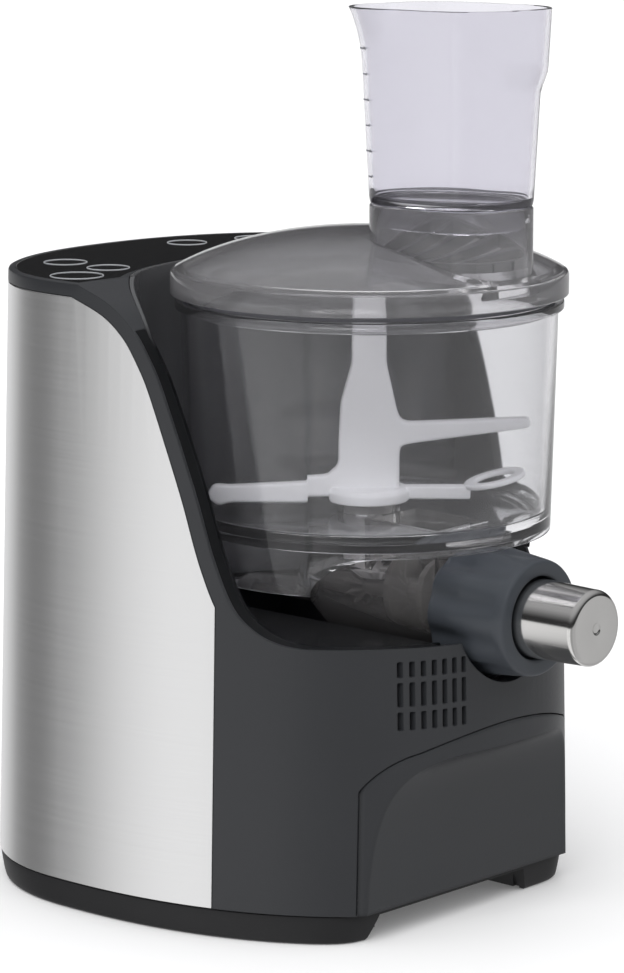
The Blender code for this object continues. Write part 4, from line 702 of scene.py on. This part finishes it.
def printed(name, marks, finish, line_width=None):
    """Marks of (place, turn, size) printed by Geometry Nodes: rings of a line's width, or else bars."""
    mesh = bpy.data.meshes.new(name)
    mesh.from_pydata([place for place, _, _ in marks], [], [])
    group = bpy.data.node_groups.new(name, "GeometryNodeTree")
    read = {}
    for part, label in ((1, "turn"), (2, "size")):
        values = mesh.attributes.new(label, "FLOAT_VECTOR", "POINT")
        for at, mark in enumerate(marks):
            values.data[at].vector = mark[part]
        stored = add_node(group, "GeometryNodeInputNamedAttribute", data_type="FLOAT_VECTOR")
        feed(stored, {"Name": label})
        read[label] = stored.outputs["Attribute"]
    piece = bpy.data.objects.new(name, mesh)
    scene.collection.objects.link(piece)
    maker = piece.modifiers.new("print", "NODES")
    inputs = [("Geometry", "Geometry", None), ("Print", "Material", finish)]
    if line_width:
        inputs.append(("Line Width", "Float", line_width))
    sockets = [
        group.interface.new_socket(label, in_out="INPUT", socket_type="NodeSocket" + kind)
        for label, kind, _ in inputs
    ]
    group.interface.new_socket("Geometry", in_out="OUTPUT", socket_type="NodeSocketGeometry")
    maker.node_group = group
    for socket, (_, _, value) in list(zip(sockets, inputs))[1:]:
        maker[socket.identifier] = value
    given = add_node(group, "NodeGroupInput").outputs
    if line_width:
        stamp = add_node(group, "GeometryNodeCurvePrimitiveCircle", {"Resolution": 96})
    else:
        stamp = add_node(group, "GeometryNodeMeshCube")
    made = add_node(group, "GeometryNodeInstanceOnPoints", {
        "Points": given["Geometry"], "Instance": stamp.outputs[0],
        "Rotation": read["turn"], "Scale": read["size"],
    })
    if line_width:
        lines = add_node(group, "GeometryNodeRealizeInstances", {0: made.outputs[0]})
        section = add_node(group, "GeometryNodeCurvePrimitiveCircle", {
            "Resolution": 8, "Radius": given["Line Width"],
        })
        made = add_node(group, "GeometryNodeCurveToMesh", {
            "Curve": lines.outputs[0], "Profile Curve": section.outputs[0],
        })
    real = add_node(group, "GeometryNodeRealizeInstances", {0: made.outputs[0]})
    inked = add_node(group, "GeometryNodeSetMaterial", {
        "Geometry": real.outputs[0], "Material": given["Print"],
    })
    add_node(group, "NodeGroupOutput", {0: inked.outputs[0]})
    return settle(piece)


touch_rings = (
    (-0.0909, 0.0660, 0.0116), (-0.0618, 0.1035, 0.0096), (-0.0623, 0.0756, 0.0094),
    (0.0275, 0.1148, 0.0091), (0.0618, 0.1035, 0.0096), (0.0909, 0.0660, 0.0116),
)
print_z = tower_z + 0.00002
print_grey = moulded("print_grey", (0.42, 0.43, 0.45), 0.30, grain=0.0, uneven=0.06, edge=0.0)
ring_marks = [((x, y, print_z), (0, 0, 0), (radius, radius, 1)) for x, y, radius in touch_rings]
rings = printed("touch_rings", ring_marks, print_grey, 0.00028)
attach(rings, "machine")

# Drawer: the arched front under the bowl with a finger pull scooped out under its lip.
# Same grained ABS as the housing; a tray behind it holds the spare dies.

# The scoop's line: shares of its depth into the front and of its height
scoop_shares = (
    (0.00, 1.00), (0.22, 0.985), (0.48, 0.90), (0.68, 0.74), (0.80, 0.52), (0.86, 0.26), (0.88, 0.00),
)
scoop_top, scoop_half_width = 0.0805, 0.0687
tray_half_width, tray_low, tray_high, tray_wall = 0.0660, 0.0165, 0.0520, 0.0020
drawer_front_y = plan_y - body_foot[1]
arch = prism("drawer_front", drawer_outline(0), drawer_front_y - past, drawer_face_y - 0.0005, "Y")
carve(arch, body_form("drawer_flush", -past, tower_z, 0), "INTERSECT")
pull = [
    (between(drawer_front_y, drawer_face_y, depth), between(seam_z, scoop_top, up))
    for depth, up in scoop_shares
]
pull = through(pull, 8)
pull = [(far_ahead, pull[0][1]), *pull, (pull[-1][0], -past), (far_ahead, -past)]
carve(arch, prism("drawer_scoop", pull, -scoop_half_width, scoop_half_width, "X"))
tray_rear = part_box("drawer")[1].y
tray = block(
    "drawer_tray",
    (-tray_half_width, drawer_face_y - past, tray_low),
    (tray_half_width, tray_rear, tray_high),
)
carve(arch, tray, "UNION")
tray_room = block(
    "drawer_room",
    (-tray_half_width + tray_wall, drawer_face_y + tray_wall, tray_low + tray_wall),
    (tray_half_width - tray_wall, tray_rear - tray_wall, tray_high + 0.0010),
)
carve(arch, tray_room)
drawer_grey = moulded("drawer_grey", (0.0270, 0.0285, 0.0315), 0.34, grain=0.22, uneven=0.05, edge=0.0028)
paint(arch, drawer_grey)
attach(arch, "drawer")
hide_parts("drawer")

# Mixing bowl: one clear moulding with a flange on top, a sloped wall, a floor and a skirt with an arch
# in front. Polycarbonate, lightly scuffed by use; the barrel and its throat are fixed through its floor.


def clear_plastic(name, tint, roughness, haze, shade=1.0):
    """Clear moulded plastic: tinted, slightly hazy, with faint scuffs, and letting light through."""
    finish, tree, shader, where = new_finish(name)
    speck = noise(tree, where, 420, 3)
    feed(shader, {
        "IOR": 1.49,
        "Transmission Weight": 1 - haze,
        "Base Color": shades(tree, noise(tree, where, 22, 3), tint, 0.015),
        "Roughness": ranged(tree, speck, 0.35, 0.85, roughness, roughness + 0.04),
    })
    rays = add_node(tree, "ShaderNodeLightPath").outputs
    let_through = (*[part * shade for part in tint], 1)
    clear = add_node(tree, "ShaderNodeBsdfTransparent", {"Color": let_through})
    surface = picked(tree, rays["Is Shadow Ray"], shader.outputs[0], clear.outputs[0])
    feed(tree.nodes["Material Output"], {"Surface": surface})
    return finish


bowl_corners = [
    (0.0855, 0.2672), (0.0855, 0.2636), (0.0830, 0.2636), (0.0797, 0.1490), (0.0773, 0.1490),
    (0.0773, 0.1685), (0.0112, 0.1685), (0.0112, 0.1712), (0.0725, 0.1712), (0.0773, 0.1760),
    (0.0806, 0.2672),
]
bowl = turned("bowl_shell", rounded(bowl_corners, 0.0007, 3, True), 160, over_bowl, closed=True)
arch_bend_x, arch_bend_z, arch_bend, arch_low = 0.0570, 0.1500, 0.0160, 0.1380
arch_right = [(arch_bend_x + arch_bend, arch_low)]
for step in range(13):
    angle = radians(7.5 * step)
    arch_right.append((arch_bend_x + arch_bend * cos(angle), arch_bend_z + arch_bend * sin(angle)))
arch = [*arch_right, *[(-x, z) for x, z in reversed(arch_right)]]
carve(bowl, prism("bowl_arch", arch, far_ahead, bowl_y, "Y"))

tail_radius, barrel_mouth, cone_start, cone_end, tail_end = 0.0113, 0.0750, -0.0130, -0.0290, -0.0710
boss_radius, boss_top = 0.0136, 0.1752
throat_half_width, throat_front, throat_rear, throat_top = 0.0166, bowl_y - 0.0544, bowl_y - 0.0126, 0.1712


def barrel_solid(name, grow):
    """The barrel with the paddle's boss and the throat that stand on it."""
    wide, narrow = barrel_radius + grow, tail_radius + grow
    front, rear = barrel_mouth + grow, tail_end - grow
    profile = [(0, front), (wide, front), (wide, cone_start), (narrow, cone_end), (narrow, rear), (0, rear)]
    barrel = turned(name, rounded(profile, 0.0016, 5), 96, lying)
    boss = rod("barrel_boss", boss_radius + grow, boss_top + grow, die_z, over_bowl, 72)
    carve(barrel, boss, "UNION", "MANIFOLD")
    throat = block(
        "barrel_throat",
        (-throat_half_width - grow, throat_front - grow, die_z),
        (throat_half_width + grow, throat_rear + grow, throat_top + grow),
    )
    return carve(barrel, throat, "UNION", "MANIFOLD")


carve(bowl, barrel_solid("barrel_room", seat_gap), solver="MANIFOLD")
bowl_clear = clear_plastic("bowl_clear", (0.80, 0.80, 0.815), 0.03, 0.012, shade=1.16)
paint(bowl, bowl_clear)
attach(bowl, "bowl")
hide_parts("bowl")

# Extruder barrel: a clear tube with a narrow tail, a throat that the dough falls through, and a boss
# for the paddle. Same polycarbonate as the bowl, with a silicone seal in its tail.

bore, tail_bore, boss_bore, throat_wall = 0.0180, 0.0088, 0.0112, 0.0024
room_top = 0.18
barrel = barrel_solid("extruder_tube", 0)
bore_line = [
    (0, 0.08), (bore, 0.08), (bore, cone_start), (tail_bore, cone_end), (tail_bore, -0.075), (0, -0.075),
]
for tool in (
    turned("barrel_bore", bore_line, 96, lying),
    rod("boss_hole", boss_bore, room_top, die_z, over_bowl, 72),
    block(
        "hopper",
        (-throat_half_width + throat_wall, throat_front + throat_wall, die_z),
        (throat_half_width - throat_wall, throat_rear - throat_wall, room_top),
    ),
):
    carve(barrel, tool, solver="MANIFOLD")
barrel_clear = clear_plastic("barrel_clear", (0.72, 0.71, 0.70), 0.05, 0.05, shade=0.9)
paint(barrel, barrel_clear)
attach(barrel, "bowl")
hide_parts("extruder_barrel")

# The auger and the seals keep the solids' shapes
seal_silicone = moulded("seal_silicone", (0.10, 0.10, 0.11), 0.60, specular=0.35)
auger_grey = moulded("auger_grey", (0.15, 0.145, 0.14), 0.30, grain=0.08, uneven=0.06, specular=0.55)
for name, finish in (("auger", auger_grey), ("barrel_seal", seal_silicone), ("lid_seal", seal_silicone)):
    paint(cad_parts[name], finish)

# Mixing paddle: a column that widens downward with one arm each way and a ring-shaped scoop.
# Glass-filled nylon in light grey, all edges drawn soft; it drops onto the boss in the bowl's floor.

blade_thickness = 0.0070
paddle_spin = over_bowl @ Matrix.Rotation(radians(-47.5), 4, "Z")
# The blade in (x, z): its right arm, its left arm and its column
blade_corners = [
    (0.0125, 0.2155), (0.0139, 0.2124), (0.0170, 0.2110), (0.0715, 0.21325), (0.0715, 0.20875),
    (0.0215, 0.2020), (0.0143, 0.2007), (0.0134, 0.1975), (0.0134, 0.1790),
    (-0.0134, 0.1774), (-0.0616, 0.1774), (-0.0666, 0.1757), (-0.0715, 0.1799), (-0.0690, 0.1853),
    (-0.0616, 0.1848), (-0.0179, 0.1870), (-0.0134, 0.1915), (-0.0134, 0.2020),
    (-0.0125, 0.2200), (-0.0076, 0.2380), (-0.0076, 0.2600), (0.0076, 0.2600), (0.0076, 0.2380),
]


def slab(name, outline, softness):
    """An outline in (x, z) made as thick as the blade, its edges drawn round on both faces."""
    pairs = zip(outline[-1:] + outline, outline)
    sense = 1 if sum(x0 * z1 - x1 * z0 for (x0, z0), (x1, z1) in pairs) > 0 else -1
    inward = []
    for at in range(len(outline)):
        before, after = Vector(outline[at - 1]), Vector(outline[(at + 1) % len(outline)])
        along = (after - before).normalized()
        inward.append(Vector((-along.y, along.x)) * sense)
    half = blade_thickness / 2
    edge = ((0, 1), (0.08, 0.6), (0.3, 0.28), (0.65, 0.06), (1, 0))
    rings = []
    for depth, draw in (
        *[(-half + softness * deep, draw) for deep, draw in edge],
        *[(half - softness * deep, draw) for deep, draw in reversed(edge)],
    ):
        rings.append([
            (x + step.x * softness * draw, depth, z + step.y * softness * draw)
            for (x, z), step in zip(outline, inward)
        ])
    return loft(name, rings, paddle_spin)


paddle = slab("paddle_blade", rounded(blade_corners[::-1], 0.0030, 5, True), 0.0014)
hub_corners = [
    (0, 0.1819), (0.0160, 0.1819), (0.0180, 0.1799), (0.0180, 0.1757), (0.0109, 0.1757),
    (0.0109, 0.1545), (0.0064, 0.1545), (0.0064, 0.1465), (0, 0.1465),
]
hub = turned("paddle_hub", rounded(hub_corners, 0.0008, 3), 72, over_bowl)
arm_corners = [(0, 0.1762), (0.045, 0.1762), (0.045, 0.1819), (0, 0.1819)]
arm = slab("scoop_arm", rounded(arm_corners, 0.001, 3, True), 0.0008)
scoop_corners = [(0.0140, 0.0012), (0.0140, -0.0012), (0.0092, -0.0012), (0.0092, 0.0012)]
scoop_tilt = Matrix.Rotation(radians(-14), 4, "Y")
scoop_place = paddle_spin @ Matrix.Translation((0.0560, 0, 0.1850)) @ scoop_tilt
scoop = turned("scoop_ring", rounded(scoop_corners, 0.0009, 4, True), 72, scoop_place, closed=True)
# The crown's teeth: shares of the tooth's pitch, with the cone's slope there in degrees
crown_teeth, crown_turn, crown_bore = 10, radians(108), 0.0020
tooth_flank = ((-0.25, 37.5), (-0.15, 44.5), (-0.09, 49.5), (0.09, 49.5), (0.15, 44.5), (0.25, 37.5))
tooth_rings = []
for height, inner in ((0.0052, True), (0.0052, False), (0.0090, False), (0.0090, True)):
    ring = []
    for tooth in range(crown_teeth):
        for share, slope in tooth_flank:
            angle = crown_turn + (tooth + share) * tau / crown_teeth
            radius = crown_bore if inner else height * tan(radians(slope))
            ring.append((radius * cos(angle), radius * sin(angle), height))
    tooth_rings.append(ring)
crown = loft("paddle_crown", tooth_rings, over_bowl @ Matrix.Translation((0, 0, die_z)), closed=True)
for part in (hub, arm, scoop, crown):
    carve(paddle, part, "UNION", "MANIFOLD")
paddle_grey = moulded("paddle_grey", (0.97, 0.97, 0.98), 0.42, grain=0.08, uneven=0.04, specular=0.45)
paint(paddle, paddle_grey)
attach(paddle, "paddle")
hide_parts("mixing_paddle")

# Nose: a deep-drawn steel cap, polished, with a small dimple in the middle of its end.
# Its flange is held on the barrel's mouth by the lock nut.

nose_end, nose_radius, nose_bend = 0.1290, 0.0165, 0.0030
nose_corner = (nose_radius, nose_end)
nose_face = [(0, 0.1284), (0.0020, 0.1285), (0.0027, nose_end), nose_corner]
nose_wall = [
    nose_corner, (0.0175, 0.0793), (0.0200, 0.0793), (0.0200, 0.0753), (0.0135, 0.0753),
    (0.0135, 0.1210), (0.0105, 0.1240), (0, 0.1240),
]
end_bend = []
for angle in range(90, -1, -10):
    out, on = cos(radians(angle)), sin(radians(angle))
    end_bend.append((nose_radius - nose_bend + nose_bend * out, nose_end - nose_bend + nose_bend * on))
nose_line = [*rounded(nose_face, 0.0003, 3)[:-1], *end_bend, *rounded(nose_wall, 0.0003, 3)[1:]]
nose = turned("nose_cap", nose_line, 128, lying)
polished_steel = brushed("polished_steel", (0.86, 0.85, 0.83), 0.11, 0.03, (90, 1.5, 90))
paint(nose, polished_steel)
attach(nose, "nose")
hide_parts("steel_nose")

# Lock nut: a ring that screws onto the barrel and draws the nose against it. Slate grey nylon,
# with ten shallow finger flutes that run out towards its narrower front lip.

nut_rear, nut_steps = 0.0580, 200
flute_count, flute_depth, flute_end, flute_runout, outer_side = 10, 0.0026, 0.0950, 0.020, 0.0232
nut_corners = [
    (0.0250, 0.0980), (0.0256, 0.0940), (0.0280, 0.0720), (0.0280, nut_rear), (0.0221, nut_rear),
    (0.0221, 0.0796), (0.0180, 0.0796), (0.0180, 0.0980),
]
nut_rings = []
for radius, ahead in rounded(nut_corners, 0.0016, 5, True):
    front_fade = min(1, max(0, (flute_end - ahead) / flute_runout))
    rear_fade = min(1, max(0, (ahead - nut_rear) / 0.0020 + 0.35))
    depth = flute_depth * (front_fade * rear_fade) if radius > outer_side else 0
    ring = []
    for at in range(nut_steps):
        angle = tau * at / nut_steps
        draw = depth * ((1 - cos(angle * flute_count)) / 2) ** 1.5
        ring.append(((radius - draw) * cos(angle), (radius - draw) * sin(angle), ahead))
    nut_rings.append(ring)
nut = loft("nut_ring", nut_rings, lying, closed=True)
nut_grey = moulded("nut_grey", (0.045, 0.051, 0.060), 0.40, grain=0.12, uneven=0.05)
paint(nut, nut_grey)
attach(nut, "nut")
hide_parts("lock_nut")

# Lid: a smoky domed moulding with a rim that drops over the bowl's flange and a chute for the cup.
# Translucent polycarbonate; bars across the chute keep fingers out.

chute_y = bowl_y - 0.0470
chute_half_width, chute_half_length, chute_power = 0.0281, 0.0353, 2.7
chute_top, chute_wall = 0.3117, 0.0016
dome_top, dome_foot, dome_sheet = 0.2980, 0.2790, 0.0024
dome_round, dome_ease, dome_part, dome_lift = 2.35, 0.94, 0.9, 0.0019
dome_reach, inside_reach = 0.975, 0.935
lid_radius = 0.0875


def chute_plan(grow, steps):
    """The chute's plan about its own middle."""
    length = chute_half_length + grow
    return oval(chute_half_width + grow, length, length, chute_power, steps)


def chute_ring(height, inset):
    """The chute's plan at a height, drawn in by an inset."""
    return [(x, chute_y + y, height) for x, y in chute_plan(-inset, 96)]


dome = [(0.0, dome_top)]
for share in [step / 24 for step in range(1, 25)]:
    rise = (dome_top - dome_foot) * (1 - share**dome_round) ** dome_ease * dome_part
    dome.append((lid_radius * dome_reach * share, dome_foot + rise + dome_lift))
lid_rim = [
    (0.0855, 0.2788), (0.0860, 0.2786), (0.0864, 0.2796), (0.0869, 0.2797), (lid_radius, 0.2786),
    (lid_radius, 0.2703), (0.0872, 0.2700), (0.0850, 0.2697), (0.0790, 0.2695), (0.0790, 0.2623),
    (0.0787, 0.2620), (0.0769, 0.2620), (0.0766, 0.2623), (0.0766, 0.2697), (0.0790, 0.2760),
]
dome_inside = [(radius * inside_reach, height - dome_sheet) for radius, height in reversed(dome)]
lid = turned("lid_dome", [*dome, *lid_rim, *dome_inside], 160, over_bowl)
chute = [(dome_foot, 0), (chute_top - 0.0008, 0), (chute_top - 0.0003, 0.0002), (chute_top, 0.0006)]
carve(lid, stacked("lid_chute", chute_ring, chute), "UNION")
mouth = [
    (0.2740, chute_wall), (dome_foot, chute_wall), (chute_top - 0.0008, chute_wall),
    (chute_top + 0.0001, 0.0012), (0.3140, 0.0012),
]
carve(lid, stacked("lid_mouth", chute_ring, mouth))
lid_smoke = clear_plastic("lid_smoke", (0.70, 0.695, 0.71), 0.05, 0.09, shade=0.8)
paint(lid, lid_smoke)
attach(lid, "lid")
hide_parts("lid")
guard_smoke = moulded("guard_smoke", (0.055, 0.055, 0.060), 0.30, grain=0.05, specular=0.45)
paint(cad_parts["chute_guard"], guard_smoke)

# Measuring cup: a clear beaker that stands in the chute as its stopper, with a spout, a grip across
# from it and graduation ticks on its wall. Styrene-acrylonitrile with a faint lavender tint.

cup_foot, cup_top = 0.3120, 0.3965
cup_flare, cup_wall, cup_edge = 0.0042, 0.0018, 0.0003
spout_swell, spout_start = 0.0046, 0.70
grip_swell, grip_start, grip_blend = 0.0028, 0.56, 0.14
swell_from, swell_span, swell_power = 0.72, 0.28, 1.15
spout_angle = radians(131)
aim_spout = Vector((cos(spout_angle), sin(spout_angle)))


def cup_ring(share, inset):
    """One ring of the cup: wider to the top, with a spout and, across from it, a grip."""
    lip = max(0, share - spout_start) / (1 - spout_start)
    grip = min(1, max(0, share - grip_start) / grip_blend)
    grip = grip * grip * (3 - 2 * grip)
    ring = []
    for point in chute_plan(cup_flare * share - inset, 144):
        place = Vector(point)
        outward = place.normalized()
        facing = outward.dot(aim_spout)
        nearness = max(0, abs(facing) - swell_from) / swell_span
        swell = spout_swell * lip**2 if facing > 0 else grip_swell * grip
        place += outward * swell * nearness**swell_power
        ring.append((place.x, chute_y + place.y, between(cup_foot, cup_top, share)))
    return ring


shares = [step / 28 for step in range(29)]
outer = [cup_ring(0.0, 0.0012), cup_ring(0.006, 0.0003), *[cup_ring(share, 0) for share in shares[1:]]]
inner = [cup_ring(share, cup_wall) for share in reversed(shares) if share > 0.06]
for ring in (outer[-1], inner[0]):
    ring[:] = [(x, y, z - cup_edge) for x, y, z in ring]
lip_top = [cup_ring(1, 0.0004), cup_ring(1, 0.0014)]
floor_rings = [cup_ring(0.045, 0.0020), cup_ring(0.032, 0.0034), cup_ring(0.026, 0.0060)]
cup = loft("beaker", [*outer, *lip_top, *inner, *floor_rings])
collar = (
    (0.3025, 0.0032), (0.3020, 0.0028), (0.3020, 0.0022), (0.3024, 0.0019), (0.3131, 0.0019),
    (0.3131, 0.0037),
)
carve(cup, stacked("cup_collar", chute_ring, collar, closed=True), "UNION")
# Ticks, short and long by turns, at one point of the cup's plan
tick_at = 57
tick_marks = []
for at, share in enumerate((0.14, 0.27, 0.40, 0.53, 0.66, 0.79)):
    ring = cup_ring(share, 0)
    length = 0.0080 if at % 2 else 0.0050
    along = Vector(ring[tick_at + 1]) - Vector(ring[tick_at - 1])
    tick_marks.append((ring[tick_at], (0, 0, atan2(along.y, along.x)), (length, 0.0001, 0.0007)))
tick_print = moulded("tick_print", (0.20, 0.20, 0.23), 0.45, grain=0.0, uneven=0.05, edge=0.0)
ticks = printed("cup_ticks", tick_marks, tick_print)
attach(ticks, "cup")
cup_clear = clear_plastic("cup_clear", (0.770, 0.762, 0.805), 0.02, 0.02)
paint(cup, cup_clear)
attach(cup, "cup")
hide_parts("measuring_cup")

# Drive, boards, screws and the lid switch inside the housing, seen only through the grille or with
# the drawer out: cast and turned iron, nylon gears, glass-fibre boards, zinc-plated screws.


def metal(name, colour, roughness, metallic):
    """Turned or cast metal with slight cloudiness in its colour and gloss."""
    finish = moulded(name, colour, roughness, grain=0.15, grain_size=0.0012, uneven=0.08, edge=0.0003)
    feed(finish.node_tree.nodes["Principled BSDF"], {"Metallic": metallic})
    return finish


motor_iron = metal("motor_iron", (0.26, 0.27, 0.28), 0.45, 0.8)
bearing_steel = metal("bearing_steel", (0.58, 0.58, 0.59), 0.25, 1.0)
screw_zinc = metal("screw_zinc", (0.56, 0.56, 0.54), 0.32, 1.0)
gear_nylon = moulded("gear_nylon", (0.66, 0.64, 0.58), 0.50)
gearbox_grey = moulded("gearbox_grey", (0.09, 0.09, 0.095), 0.50, grain=0.20)
board_green = moulded("board_green", (0.02, 0.13, 0.06), 0.40, grain=0.25, grain_size=0.0015, uneven=0.20)
switch_black = moulded("switch_black", (0.018, 0.018, 0.019), 0.45)
inner_finishes = (
    (motor_iron, "motor_case motor_rotor"),
    (bearing_steel, "idler_pin output_bearing_front output_bearing_rear output_shaft"),
    (screw_zinc, "base_screw_front_left base_screw_front_right base_screw_rear_left base_screw_rear_right"),
    (gear_nylon, "idler_gear"),
    (gearbox_grey, "gearbox_case gearbox_cover"),
    (board_green, "control_board power_board"),
    (switch_black, "cooling_fan lid_switch lid_switch_plunger cord_outlet"),
)
for finish, names in inner_finishes:
    for name in names.split():
        paint(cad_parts[name], finish)
